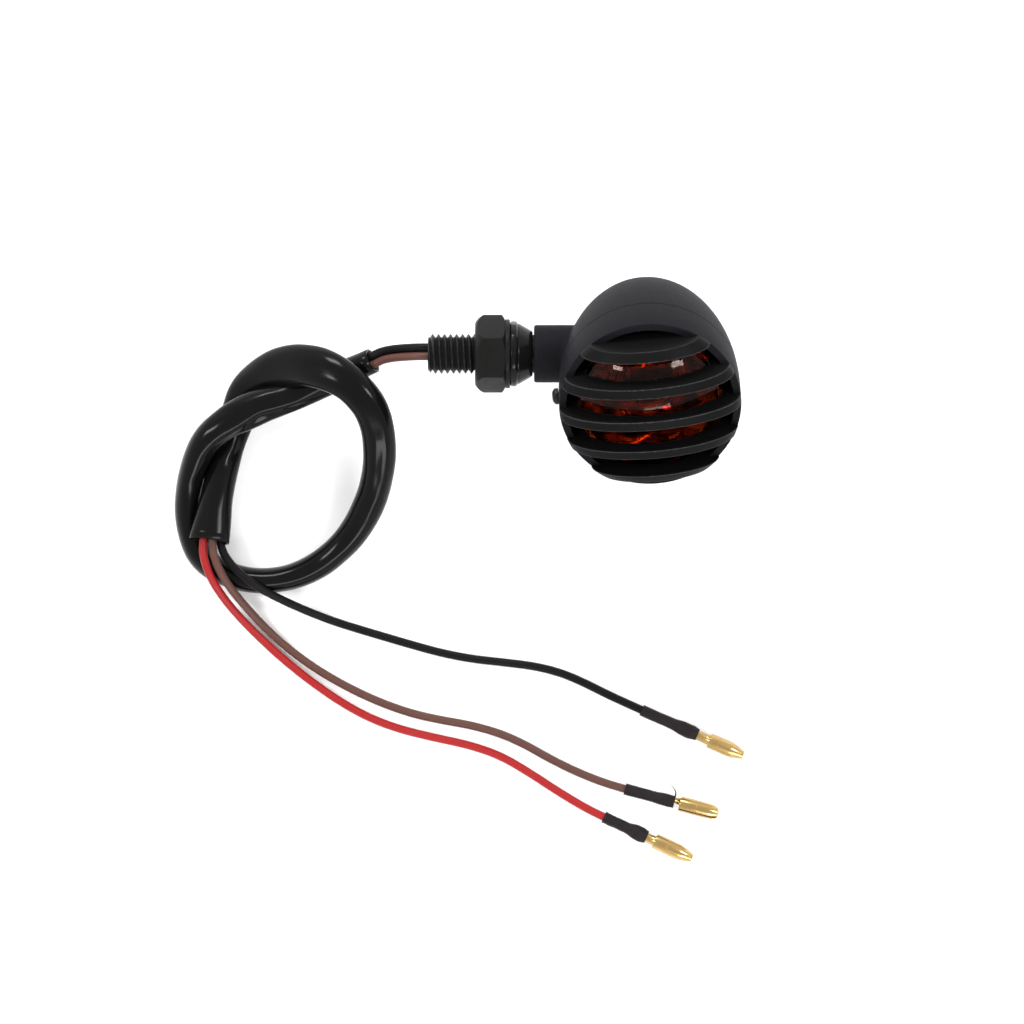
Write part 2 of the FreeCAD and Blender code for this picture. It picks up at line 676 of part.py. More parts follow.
SLEEVE_ROUTE = [
    (-14.0, -1.5, -6.1), (-21.0, -4.7, -8.5), (-29.0, -8.0, -10.0), (-36.5, -10.9, -10.2),
    (-43.5, -13.2, -9.9), (-50.2, -16.4, -10.0), (-55.9, -20.8, -11.3), (-59.8, -26.6, -14.1),
    (-62.0, -33.2, -16.9), (-62.6, -40.1, -18.4), (-61.2, -46.6, -18.6), (-57.6, -51.8, -18.7),
    (-52.2, -55.2, -18.6), (-45.8, -57.0, -18.7), (-38.9, -57.0, -18.6), (-32.0, -55.2, -18.7),
    (-25.2, -51.2, -18.1), (-19.3, -45.2, -16.0), (-15.0, -37.9, -12.6), (-12.6, -30.0, -8.4),
    (-12.0, -22.2, -4.4), (-13.6, -14.6, -1.2), (-17.4, -8.0, 0.5), (-23.2, -3.2, 0.4),
    (-29.8, -0.9, -2.8), (-36.1, -1.1, -7.8), (-41.8, -3.8, -12.9), (-45.8, -8.6, -16.8),
    (-48.4, -14.8, -18.6), (-50.6, -21.8, -18.1), (-52.6, -29.6, -15.9), (-54.1, -38.2, -13.3),
    (-55.4, -46.9, -11.6),
]
SEATS = {"black": (1.15, 0.5), "brown": (-1.05, 0.7), "red": (0.0, -1.35)}
BLOCK_SEATS = {"black": 2.45, "brown": -2.45, "red": 0.0}
LEAD_ROUTES = {
    "red": [
        (-57.4, -47.5, -11.8), (-56.4, -53.4, -12.3), (-53.6, -59.2, -14.5), (-49.0, -65.4, -18.4),
        (-43.3, -71.4, -20.8), (-36.8, -77.4, -21.3), (-29.6, -83.1, -21.4), (-22.2, -88.2, -21.3),
        (-15.0, -92.1, -21.4), (-7.4, -94.9, -21.3), (1.4, -97.0, -21.4), (10.4, -98.9, -21.3),
        (18.2, -101.6, -21.4), (25.6, -106.0, -21.3), (33.2, -111.0, -21.3), (39.6, -114.8, -21.0),
        (44.9, -117.4, -20.7), (50.7, -120.1, -20.5),
    ],
    "brown": [
        (-54.9, -48.0, -11.0), (-53.5, -53.2, -11.8), (-50.6, -58.4, -13.9), (-46.6, -63.6, -17.6),
        (-41.4, -69.4, -20.5), (-35.3, -74.9, -21.3), (-28.0, -80.1, -21.4), (-20.2, -84.5, -21.3),
        (-12.6, -88.0, -21.4), (-5.0, -90.7, -21.3), (2.4, -92.4, -21.4), (10.2, -93.7, -21.3),
        (17.8, -95.8, -21.4), (24.3, -98.7, -21.3), (30.2, -102.1, -21.4), (36.8, -105.4, -21.3),
        (43.4, -108.1, -21.1), (50.0, -110.1, -20.8), (56.5, -111.8, -20.5),
    ],
    "black": [
        (-53.2, -48.4, -13.1), (-49.0, -54.2, -12.9), (-43.7, -58.4, -13.6), (-37.8, -61.6, -16.0),
        (-31.4, -64.6, -19.2), (-24.4, -67.4, -21.0), (-15.3, -70.2, -21.4), (-6.4, -72.8, -21.3),
        (2.0, -75.2, -21.4), (10.4, -76.9, -21.3), (18.8, -77.8, -21.4), (27.0, -78.8, -21.3),
        (33.6, -80.5, -21.4), (39.4, -83.0, -21.3), (45.5, -86.1, -21.1), (52.8, -89.4, -20.8),
        (60.4, -92.8, -20.5),
    ],
}
SHRINK_LENGTHS = {"red": 12.0, "brown": 13.0, "black": 15.5}


def beside(before, corner, after, seat):
    """The point beside a corner of the stem wires' middle line that keeps a wire in its own seat."""
    along = after - before
    side = along.cross(V(0, 0, 1)).normalize()
    over = side.cross(along).normalize()
    return corner + side * seat[0] + over * seat[1]


def stem_wires():
    """The three wires from the head end of the stem's bore to the sleeve's mouth, side by side."""
    mouth = V(*SLEEVE_ROUTE[0])
    into = (V(*SLEEVE_ROUTE[1]) - mouth).normalize()
    middle = [V(size("stem_end"), 0, 0), V(27.5, 0, 0), V(13.5, 0, 0), V(1.0, 0, 0),
              V(-3.6, 0, -0.35), mouth - into * 4, mouth]
    for colour, seat in SEATS.items():
        ends = zip([middle[0]] + middle, middle, middle[1:] + [middle[-1]])
        route = [beside(before, corner, after, seat) for before, corner, after in ends]
        tube("StemWire_" + colour, f"stem_wire_{colour}", route, size("wire_dia"))


def lamp_wires():
    """The three wires inside the head, from the stem's end to the bulb holder's terminal block."""
    left = size("stem_end") + size("swivel_gap") - size("head_x")
    for colour, (across, up) in SEATS.items():
        level = up - size("stem_drop")
        seat = BLOCK_SEATS[colour]
        straight, fall = (1.2, 1.5) if colour == "red" else (1.5, 1.1)
        route = [
            (left, across, level), (left + straight, across, level),
            (left + straight + 1, seat * 0.9, level - fall), (-10.15, seat, level - 3.3),
            (-10.2, seat, size("block_top") + 0.12),
        ]
        tube("LampWire_" + colour, f"lamp_wire_{colour}", route, size("wire_dia"), "head",
             head_placement())


def shrink_and_terminal(colour, lead_end, direction):
    """Heat-shrink tube and bullet terminal in line with the lead's last run."""
    shrink_start = lead_end - direction * size("wire_in_shrink")
    place = FreeCAD.Placement(shrink_start, FreeCAD.Rotation(V(0, 0, 1), direction))
    length = SHRINK_LENGTHS[colour]
    whole = rod(f"Shrink{colour}", "$shrink_dia / 2", "0", f"{length}")
    wire_bore = rod(f"ShrinkBore{colour}", "$wire_dia / 2", "-1", "$wire_in_shrink")
    crimp_bore = rod(f"ShrinkCrimp{colour}", "$terminal_barrel / 2", "$wire_in_shrink", f"{length + 1}")
    shrink = cut(f"HeatShrink{colour}", whole, fuse(f"ShrinkBores{colour}", wire_bore, crimp_bore))
    shrink.Placement = place
    keep(shrink, f"heat_shrink_{colour}", "stem")
    neck = f"{length} + $terminal_neck"
    tip_start = f"{neck} + $bullet_length - $bullet_tip"
    barrel = rod(f"Barrel{colour}", "$terminal_barrel / 2", "$wire_in_shrink", neck)
    bullet = rod(f"Bullet{colour}", "$terminal_dia / 2", neck, tip_start)
    tip = solid("Cone", f"BulletTip{colour}", at=("0", "0", tip_start), Height="$bullet_tip",
                Radius1="$terminal_dia / 2", Radius2="$terminal_dia / 2 - 0.9")
    terminal = fuse(f"Terminal{colour}", barrel, bullet, tip)
    terminal.Placement = place
    keep(terminal, f"bullet_terminal_{colour}", "stem")


def wiring():
    tube("Sleeve", "cable_sleeve", SLEEVE_ROUTE, size("sleeve_dia"))
    stem_wires()
    lamp_wires()
    for colour, route in LEAD_ROUTES.items():
        tube("Lead_" + colour, f"lead_{colour}", route, size("wire_dia"))
        end = V(*route[-1])
        shrink_and_terminal(colour, end, (end - V(*route[-2])).normalize())


def check_all():
    """Stop if any object failed or any sub-part isn't a valid shape."""
    for item in doc.Objects:
        bad = {"Invalid", "Error"} & set(item.State)
        if bad:
            raise RuntimeError(f"{item.Name} is {bad}")
    for node, made, _ in SUB_PARTS:
        if made.Shape.isNull() or not made.Shape.isValid() or not made.Shape.Solids:
            raise RuntimeError(f"{node} has no valid solid")


def write_all():
    os.makedirs("parts", exist_ok=True)
    for node, made, body in SUB_PARTS:
        made.Shape.exportStep(f"parts/{node}.step")
        box = made.Shape.BoundBox
        print(f"{node:24s} {body:12s} solids {len(made.Shape.Solids)} volume {made.Shape.Volume:9.1f} "
              f"x {box.XMin:6.1f}..{box.XMax:6.1f} y {box.YMin:6.1f}..{box.YMax:6.1f} "
              f"z {box.ZMin:6.1f}..{box.ZMax:6.1f}")


fill_sheet()
stem_bolt()
mounting_nut()
stem_rings()
cone_collar()
housing()
grille_cover()
lens()
reflector()
cover_screw()
bulb_holder()
bulb()
wiring()
doc.recompute()
check_all()
write_all()
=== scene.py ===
"""Looks of the bullet turn signal: its shells, glass, metal, sleeve and leads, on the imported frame."""
import json
import math

import bmesh
import bpy
import numpy
from mathutils import Matrix, Vector, noise


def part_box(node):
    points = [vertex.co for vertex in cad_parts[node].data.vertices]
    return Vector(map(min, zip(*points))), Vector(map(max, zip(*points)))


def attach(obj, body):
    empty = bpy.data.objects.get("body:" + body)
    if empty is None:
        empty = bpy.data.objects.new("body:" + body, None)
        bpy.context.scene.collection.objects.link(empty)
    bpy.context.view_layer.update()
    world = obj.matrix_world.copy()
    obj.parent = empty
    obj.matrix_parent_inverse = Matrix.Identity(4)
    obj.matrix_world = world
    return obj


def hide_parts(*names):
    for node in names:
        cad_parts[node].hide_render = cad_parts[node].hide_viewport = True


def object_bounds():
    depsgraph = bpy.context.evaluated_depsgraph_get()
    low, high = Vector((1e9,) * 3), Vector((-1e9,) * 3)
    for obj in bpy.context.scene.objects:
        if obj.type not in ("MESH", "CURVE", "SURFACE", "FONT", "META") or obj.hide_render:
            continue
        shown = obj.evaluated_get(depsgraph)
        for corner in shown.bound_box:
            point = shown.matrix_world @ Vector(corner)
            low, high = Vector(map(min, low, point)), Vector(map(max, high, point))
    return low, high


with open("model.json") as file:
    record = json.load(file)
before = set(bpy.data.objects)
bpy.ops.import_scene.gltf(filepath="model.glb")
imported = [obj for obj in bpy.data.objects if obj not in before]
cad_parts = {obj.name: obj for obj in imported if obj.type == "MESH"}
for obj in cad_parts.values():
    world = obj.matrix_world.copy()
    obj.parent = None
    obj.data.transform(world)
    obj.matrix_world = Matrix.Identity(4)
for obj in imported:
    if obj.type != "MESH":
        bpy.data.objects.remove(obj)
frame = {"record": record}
cad_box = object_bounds()
MM = 0.001

# ---------------------------------------------------------------- places from the frame

JOINTS = {joint["name"]: joint for joint in frame["record"]["behaviour"]["joints"]}
LENS_AXIS = Vector(JOINTS["bulb_twist"]["axis"])
PIN_LEVEL = -20.0
RIM_CENTRE = Vector(JOINTS["bulb_twist"]["pos_m"]) - LENS_AXIS * PIN_LEVEL * MM
TILT = math.acos(LENS_AXIS.z)
SCREW_AXIS = Vector(JOINTS["screw_spin"]["axis"])
FLOOR = cad_box[0][2]

# The head's own frame, in millimetres: Z is the lens axis, Z = 0 the rim plane, X the stem's way.
HEAD = Matrix.Translation(RIM_CENTRE) @ Matrix.Rotation(TILT, 4, "X") @ Matrix.Scale(MM, 4)
# The stem's own frame, in millimetres: Z is the stem's axis towards the head.
STEM = Matrix.Rotation(math.radians(90), 4, "Y") @ Matrix.Scale(MM, 4)

RIM_RADIUS = 22.4
BACK_DEPTH = 50.7
SHOULDER = 7.0
DOME_HEIGHT = 11.0
SEAM_DEPTH = 11.0
SKIRT_BORE = 20.6
STEM_DROP = 26.6
CLOCK = math.radians(5.3)
BAR_PITCH = 8.45
BAR_THICK = 2.4
LENS_RADIUS = 24.0
LENS_CENTRE = -17.0
LENS_EDGE = 17.6
LENS_WALL = 1.5
SHELL_WALL = 2.1
BOSS_START = 26.5
SCREW_LEVEL = 8.3
SCREW_ROOM = 2.3
WIRE_DIAMETER = 2.1
SLEEVE_DIAMETER = 7.5


# ---------------------------------------------------------------- camera, floor and light

def aim(thing, place, target):
    thing.location = place
    thing.rotation_euler = (Vector(target) - Vector(place)).to_track_quat("-Z", "Y").to_euler()


def add_camera():
    data = bpy.data.cameras.new("camera")
    data.sensor_width = 36
    data.lens = 168.75
    data.clip_start = 0.01
    camera = bpy.data.objects.new("camera", data)
    camera.location = (0.021, -0.03956, 1.2)
    bpy.context.collection.objects.link(camera)
    bpy.context.scene.camera = camera


def softbox(name, place, target, width, height, watts):
    data = bpy.data.lights.new(name, "AREA")
    data.shape = "RECTANGLE"
    data.size = width
    data.size_y = height
    data.energy = watts
    lamp = bpy.data.objects.new(name, data)
    bpy.context.collection.objects.link(lamp)
    aim(lamp, place, target)


def add_stage():
    """White sweep under the part and a soft light tent round it."""
    bpy.ops.mesh.primitive_plane_add(size=6, location=(0, 0, FLOOR))
    floor = bpy.context.object
    floor.name = "floor"
    floor.data.materials.append(material("floor_white", (0.97, 0.97, 0.97), 0.75))
    add_tent(1.6, 0.8)
    middle = (0.02, -0.04, 0)
    softbox("front_box", (0.25, -1.0, 0.85), middle, 0.7, 0.3, 8)
    softbox("back_box", (-0.2, 1.1, 0.7), middle, 0.5, 0.25, 12)
    softbox("left_box", (-0.76, 0.1, 1.05), middle, 0.17, 0.28, 5)
    softbox("right_box", (0.72, 0.2, 1.05), middle, 0.2, 0.32, 6)


def add_tent(edge, top):
    """Soft surround that is bright near the table and dim overhead."""
    world = bpy.data.worlds.new("tent")
    world.use_nodes = True
    nodes = world.node_tree.nodes
    links = world.node_tree.links
    place = nodes.new("ShaderNodeTexCoord")
    split = nodes.new("ShaderNodeSeparateXYZ")
    links.new(place.outputs["Generated"], split.inputs["Vector"])
    fall = nodes.new("ShaderNodeMapRange")
    fall.inputs["From Min"].default_value = 0.05
    fall.inputs["From Max"].default_value = 0.85
    fall.inputs["To Min"].default_value = edge
    fall.inputs["To Max"].default_value = top
    links.new(split.outputs["Z"], fall.inputs["Value"])
    nodes["Background"].inputs["Color"].default_value = (1, 1, 1, 1)
    links.new(fall.outputs["Result"], nodes["Background"].inputs["Strength"])
    bpy.context.scene.world = world


# ---------------------------------------------------------------- materials

def noise_field(tree, place, scale, detail):
    """A noise texture in the object's own metres."""
    cloud = tree.nodes.new("ShaderNodeTexNoise")
    cloud.inputs["Scale"].default_value = scale
    cloud.inputs["Detail"].default_value = detail
    tree.links.new(place, cloud.inputs["Vector"])
    return cloud.outputs["Fac"]


def add_mottle(tree, shader, place, colour, roughness, mottle):
    """Uneven colour and roughness; gives back the uneven colour."""
    scale, second, change = mottle
    cloud = noise_field(tree, place, scale, 6)
    blend = tree.nodes.new("ShaderNodeMix")
    blend.data_type = "RGBA"
    blend.inputs[6].default_value = (*colour, 1)
    blend.inputs[7].default_value = (*second, 1)
    tree.links.new(cloud, blend.inputs[0])
    tree.links.new(blend.outputs[2], shader.inputs["Base Color"])
    spread = tree.nodes.new("ShaderNodeMapRange")
    spread.inputs["From Min"].default_value = 0.3
    spread.inputs["From Max"].default_value = 0.7
    spread.inputs["To Min"].default_value = roughness
    spread.inputs["To Max"].default_value = min(1, roughness + change)
    tree.links.new(cloud, spread.inputs["Value"])
    tree.links.new(spread.outputs["Result"], shader.inputs["Roughness"])
    return blend.outputs[2]


def add_edge_highlight(tree, shader, base, highlight_colour):
    """A painted highlight: a lighter colour where the mesh's edge attribute is high."""
    edges = tree.nodes.new("ShaderNodeAttribute")
    edges.attribute_name = "painted_edge_highlight"
    highlight_mix = tree.nodes.new("ShaderNodeMix")
    highlight_mix.data_type = "RGBA"
    highlight_mix.inputs[7].default_value = (*highlight_colour, 1)
    tree.links.new(base, highlight_mix.inputs[6])
    tree.links.new(edges.outputs["Fac"], highlight_mix.inputs[0])
    tree.links.new(highlight_mix.outputs[2], shader.inputs["Base Color"])


def add_grain(tree, shader, place, grain):
    scale, height = grain
    bump_node = tree.nodes.new("ShaderNodeBump")
    bump_node.inputs["Strength"].default_value = 1
    bump_node.inputs["Distance"].default_value = height
    tree.links.new(noise_field(tree, place, scale, 4), bump_node.inputs["Height"])
    tree.links.new(bump_node.outputs["Normal"], shader.inputs["Normal"])


def material(name, colour, roughness, metallic=0.0, grain=None, mottle=None, highlight_colour=None, **sockets):
    """A principled material; grain is (scale per metre, height in metres) for the surface's bump,
    mottle is (scale per metre, second colour, change in roughness) for its unevenness, and the edge
    colour is a lighter colour painted along its sharp edges as a highlight, which needs a mottle under it."""
    made = bpy.data.materials.new(name)
    made.use_nodes = True
    tree = made.node_tree
    shader = tree.nodes["Principled BSDF"]
    shader.inputs["Base Color"].default_value = (*colour, 1)
    shader.inputs["Roughness"].default_value = roughness
    shader.inputs["Metallic"].default_value = metallic
    for socket, value in sockets.items():
        shader.inputs[socket.replace("_", " ")].default_value = value
    place = tree.nodes.new("ShaderNodeTexCoord").outputs["Object"]
    if mottle:
        base = add_mottle(tree, shader, place, colour, roughness, mottle)
    if highlight_colour:
        add_edge_highlight(tree, shader, base, highlight_colour)
    if grain:
        add_grain(tree, shader, place, grain)
    return made


# ---------------------------------------------------------------- mesh tools

def mesh_object(name, points, faces, place=None, smooth=True):
    mesh = bpy.data.meshes.new(name)
    mesh.from_pydata([tuple(point) for point in points], [], faces)
    shape = bmesh.new()
    shape.from_mesh(mesh)
    bmesh.ops.remove_doubles(shape, verts=shape.verts, dist=1e-5)
    bmesh.ops.dissolve_degenerate(shape, edges=shape.edges, dist=1e-5)
    bmesh.ops.recalc_face_normals(shape, faces=shape.faces)
    if place:
        bmesh.ops.transform(shape, matrix=place, verts=shape.verts)
    shape.to_mesh(mesh)
    shape.free()
    made = bpy.data.objects.new(name, mesh)
    bpy.context.collection.objects.link(made)
    mesh.shade_smooth() if smooth else mesh.shade_flat()
    return made


def sharpen(piece, degrees=35):
    """Smooth shading that still breaks at edges sharper than the angle."""
    piece.data.shade_smooth()
    piece.data.set_sharp_from_angle(angle=math.radians(degrees))
    return piece


def bake(piece):
    """Apply the piece's modifiers to its mesh."""
    graph = bpy.context.evaluated_depsgraph_get()
    mesh = bpy.data.meshes.new_from_object(piece.evaluated_get(graph))
    piece.modifiers.clear()
    piece.data = mesh
    return piece


def carve(piece, tool, operation="DIFFERENCE"):
    change = piece.modifiers.new("carve", "BOOLEAN")
    change.object = tool
    change.operation = operation
    change.solver = "EXACT"
    bake(piece)
    bpy.data.objects.remove(tool)
    return piece


def soften_edges(piece, width, segments=3, degrees=30):
    bevel = piece.modifiers.new("edges", "BEVEL")
    bevel.width = width
    bevel.segments = segments
    bevel.limit_method = "ANGLE"
    bevel.angle_limit = math.radians(degrees)
    bevel.harden_normals = False
    return bake(piece)


def cast_skin(piece, voxel, rounds):
    """One even skin over joined pieces, with its edges and inner corners softened as on a casting."""
    remesh = piece.modifiers.new("skin", "REMESH")
    remesh.mode = "VOXEL"
    remesh.voxel_size = voxel
    smooth = piece.modifiers.new("soften", "SMOOTH")
    smooth.factor = 0.5
    smooth.iterations = rounds
    bake(piece)
    piece.data.shade_smooth()
    return piece


def mark_edges(piece, low, high):
    """Write the attribute that paints a highlight on the edges: how far each corner of the mesh stands out
    from those round it.
    """
    mesh = piece.data
    count = len(mesh.vertices)
    places = numpy.empty(count * 3)
    normals = numpy.empty(count * 3)
    pairs = numpy.empty(len(mesh.edges) * 2, dtype=int)
    mesh.vertices.foreach_get("co", places)
    mesh.vertices.foreach_get("normal", normals)
    mesh.edges.foreach_get("vertices", pairs)
    places = places.reshape(-1, 3)
    normals = normals.reshape(-1, 3)
    first, second = pairs.reshape(-1, 2).T
    step = places[first] - places[second]
    step /= numpy.maximum(numpy.linalg.norm(step, axis=1), 1e-9)[:, None]
    rise = numpy.zeros(count)
    numpy.add.at(rise, first, (normals[first] * step).sum(axis=1))
    numpy.add.at(rise, second, -(normals[second] * step).sum(axis=1))
    ends = numpy.bincount(pairs, minlength=count)
    highlight_strength = numpy.clip((rise / numpy.maximum(ends, 1) - low) / (high - low), 0, 1)
    layer = mesh.attributes.new("painted_edge_highlight", "FLOAT", "POINT")
    layer.data.foreach_set("value", highlight_strength.astype(numpy.float32))


def rounded(corners, steps=4):
    """An outline of (radius, height, fillet) corners with each fillet drawn as a short arc."""
    outline = []
    for index, (radius, height, fillet) in enumerate(corners):
        here = Vector((radius, height))
        before = Vector(corners[index - 1][:2]) - here
        after = Vector(corners[(index + 1) % len(corners)][:2]) - here
        if fillet == 0:
            outline.append(here)
            continue
        reach = min(fillet, before.length * 0.49, after.length * 0.49)
        start = here + before.normalized() * reach
        end = here + after.normalized() * reach
        for step in range(steps + 1):
            part = step / steps
            outline.append(start * (1 - part) ** 2 + here * 2 * part * (1 - part) + end * part ** 2)
    return outline


def revolve(name, outline, place, segments=96):
    """A closed outline of (radius, height) turned about the frame's Z axis."""
    points = []
    faces = []
    count = len(outline)
    for turn in range(segments):
        angle = 2 * math.pi * turn / segments
        for point in outline:
            points.append((point[0] * math.cos(angle), point[0] * math.sin(angle), point[1]))
    for turn in range(segments):
        onward = (turn + 1) % segments
        for index in range(count):
            other = (index + 1) % count
            faces.append((turn * count + index, onward * count + index,
                          onward * count + other, turn * count + other))
    return mesh_object(name, points, faces, place)


def hex_prism(name, across_flats, low, high, turn, place):
    radius = across_flats / 2 / math.cos(math.radians(30))
    points = []
    for height in (low, high):
        for side in range(6):
            angle = math.radians(60 * side + turn)
            points.append((radius * math.cos(angle), radius * math.sin(angle), height))
    faces = [tuple(range(5, -1, -1)), tuple(range(6, 12))]
    for side in range(6):
        onward = (side + 1) % 6
        faces.append((side, onward, onward + 6, side + 6))
    return mesh_object(name, points, faces, place, smooth=False)


def tube_faces(rings, sides):
    """Quads between rings of points, and a cap on the first ring and on the last."""
    faces = []
    for ring in range(rings - 1):
        for side in range(sides):
            onward = (side + 1) % sides
            faces.append((ring * sides + side, ring * sides + onward,
                          (ring + 1) * sides + onward, (ring + 1) * sides + side))
    last = (rings - 1) * sides
    faces.append(tuple(range(sides)))
    faces.append(tuple(range(last + sides - 1, last - 1, -1)))
    return faces


def block(name, across, along, up, place):
    """A six-sided block between two limits on each axis, to cut with."""
    corners = [(x, y, z) for z in up for x in across for y in along]
    faces = [(0, 1, 3, 2), (4, 6, 7, 5), (0, 4, 5, 1), (2, 3, 7, 6), (0, 2, 6, 4), (1, 5, 7, 3)]
    return mesh_object(name, corners, faces, place, smooth=False)


def finish_piece(piece, look, body, slot, *nodes):
    """Give a piece its material and its body, and hide the CAD nodes that it stands for; the slot argument is
    not used.
    """
    piece.data.materials.clear()
    piece.data.materials.append(look)
    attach(piece, body)
    if nodes:
        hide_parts(*nodes)
    return piece


# ---------------------------------------------------------------- cords

SLEEVE_ROUTE = [
    (-14, -1.5, -6.1), (-21, -4.7, -8.5), (-29, -8, -10),
    (-36.5, -10.9, -10.2), (-43.5, -13.2, -9.9), (-50.2, -16.4, -10),
    (-55.9, -20.8, -11.3), (-59.2, -26.6, -14.1), (-61, -33.2, -16.9),
    (-61.4, -40.1, -18.4), (-60.2, -46.6, -18.6), (-57.6, -51.8, -18.7),
    (-52.2, -55.2, -18.6), (-45.8, -57, -18.7), (-38.9, -57, -18.6),
    (-32, -55.2, -18.7), (-25.2, -51.2, -18.1), (-19.3, -45.2, -16),
    (-15, -37.9, -12.6), (-12.6, -30, -8.4), (-12, -22.2, -4.4),
    (-13.6, -14.6, -1.2), (-17.4, -9.2, 0.5), (-23.2, -4.9, 0.4),
    (-29.8, -2.7, -2.8), (-36.1, -2.9, -7.8), (-41.8, -5.4, -12.9),
    (-45.8, -8.6, -16.8), (-48.4, -14.8, -18.6), (-50.6, -21.8, -18.1),
    (-52.6, -29.6, -15.9), (-54.1, -38.2, -13.3), (-55.4, -46.9, -11.6),
]
# each wire's seat across the stem's middle line: sideways and up, in millimetres
SEATS = {"black": (1.15, 0.5), "brown": (-1.05, 0.7), "red": (0.0, -1.35)}
LEAD_ROUTES = {
    "red": [
        (-55.9, -41.6, -13.0),
        (-57.4, -47.5, -11.8), (-56.4, -53.4, -12.3), (-53.6, -59.2, -14.5), (-49.0, -65.4, -18.4),
        (-43.3, -71.4, -20.8), (-36.8, -77.4, -21.3), (-29.6, -83.1, -21.4), (-22.2, -88.2, -21.3),
        (-15.0, -92.1, -21.4), (-7.4, -94.9, -21.3), (1.4, -97.0, -21.4), (10.4, -98.9, -21.3),
        (18.2, -101.6, -21.4), (25.6, -106.0, -21.3), (33.2, -111.0, -21.3), (39.6, -114.8, -21.0),
        (44.9, -117.4, -20.7), (50.7, -120.1, -20.5),
    ],
    "brown": [
        (-54.3, -42.2, -12.0),
        (-54.9, -48.0, -11.0), (-53.5, -53.2, -11.8), (-50.6, -58.4, -13.9), (-46.6, -63.6, -17.6),
        (-41.4, -69.4, -20.5), (-35.3, -74.9, -21.3), (-28.0, -80.1, -21.4), (-20.2, -84.5, -21.3),
        (-12.6, -88.0, -21.4), (-5.0, -90.7, -21.3), (2.4, -92.4, -21.4), (10.2, -93.7, -21.3),
        (17.8, -95.8, -21.4), (24.3, -98.7, -21.3), (30.2, -102.1, -21.4), (36.8, -105.4, -21.3),
        (43.4, -108.1, -21.1), (50.0, -110.1, -20.8), (56.5, -111.8, -20.5),
    ],
    "black": [
        (-52.9, -42.4, -14.0),
        (-53.2, -48.4, -13.1), (-49.0, -54.2, -12.9), (-43.7, -58.4, -13.6), (-37.8, -61.6, -16.0),
        (-31.4, -64.6, -19.2), (-24.4, -67.4, -21.0), (-15.3, -70.2, -21.4), (-6.4, -72.8, -21.3),
        (2.0, -75.2, -21.4), (10.4, -76.9, -21.3), (18.8, -77.8, -21.4), (27.0, -78.8, -21.3),
        (33.6, -80.5, -21.4), (39.4, -83.0, -21.3), (45.5, -86.1, -21.1), (52.8, -89.4, -20.8),
        (60.4, -92.8, -20.5),
    ],
}


def stem_wire_route(seat):
    """One wire's points from the stem's inner end to a little way inside the sleeve's mouth."""
    mouth = Vector(SLEEVE_ROUTE[0])
    into = (Vector(SLEEVE_ROUTE[1]) - mouth).normalized()
    middle = [Vector((41.5, 0, 0)), Vector((27.5, 0, 0)), Vector((13.5, 0, 0)), Vector((1.0, 0, 0)),
              Vector((-3.6, 0, -0.35)), mouth - into * 4, mouth, mouth + into * 5]
    route = []
    for index, corner in enumerate(middle):
        along = middle[min(index + 1, len(middle) - 1)] - middle[max(index - 1, 0)]
        side = along.cross(Vector((0, 0, 1))).normalized()
        over = side.cross(along).normalized()
        lift = Vector((0, 0.45, 0)) if 3 <= index <= 4 else Vector((0, 0, 0))
        route.append(tuple(corner + side * seat[0] + over * seat[1] + lift))
    return route


def cord_curve(name, route, diameter):
    """One open NURBS spline through the route's control points, in metres."""
    data = bpy.data.curves.new(name, "CURVE")
    data.dimensions = "3D"
    data.resolution_u = 8
    spline = data.splines.new("NURBS")
    spline.points.add(len(route) - 1)
    for point, place in zip(spline.points, route):
        point.co = (*(value * MM for value in place), 1)
    spline.order_u = 3
    spline.use_endpoint_u = True
    data.bevel_depth = diameter / 2 * MM
    data.bevel_resolution = 5
    data.use_fill_caps = True
    made = bpy.data.objects.new(name, data)
    bpy.context.collection.objects.link(made)
    return made


def read_line(route):
    """The points of the route's NURBS spline, as Blender evaluates it."""
    curve = cord_curve("line", route, 0)
    curve.data.bevel_depth = 0
    graph = bpy.context.evaluated_depsgraph_get()
    mesh = bpy.data.meshes.new_from_object(curve.evaluated_get(graph))
    line = [vertex.co.copy() for vertex in mesh.vertices]
    bpy.data.objects.remove(curve)
    return line


def line_length(line):
    return sum((after - before).length for before, after in zip(line, line[1:]))


def line_frames(line):
    """At each point of a line, a level direction across it and one square to both."""
    frames = []
    for index, here in enumerate(line):
        ahead = (line[min(index + 1, len(line) - 1)] - line[max(index - 1, 0)]).normalized()
        across = ahead.cross(Vector((0, 0, 1))).normalized()
        frames.append((here, across, ahead.cross(across)))
    return frames


def bump(part, middle, width):
    return math.exp(-((part - middle) / width) ** 2)


# how far the sleeve is pressed flat along its length; below nought it stands on edge
FLATNESS = [(0, -0.1), (0.05, 0), (0.1, 0.08), (0.14, 0.22), (0.18, 0.05), (0.24, -0.25), (0.33, -0.25),
            (0.42, -0.25), (0.47, -0.15), (0.55, 0.03), (0.62, 0.1), (0.68, 0.2), (0.74, 0.45),
            (0.78, 0.5), (0.83, 0.35), (0.9, 0.05), (0.95, 0.12), (1, 0.38)]
# folds along the sleeve: turn round it, sway, depth, and the middle and reach of the fold
FOLDS = [(3.95, 0.4, 0.17, 0.13, 0.075), (4.9, 0.5, 0.06, 0.12, 0.06), (0.6, 0.4, 0.09, 0.13, 0.07),
         (4.75, 0.15, 0.07, 0.62, 0.17), (4.3, 0.3, 0.08, 0.9, 0.05)]


def flatness(part):
    for (before, low), (after, high) in zip(FLATNESS, FLATNESS[1:]):
        if part <= after:
            share = (part - before) / (after - before)
            return low + (high - low) * share * share * (3 - 2 * share)
    return FLATNESS[-1][1]


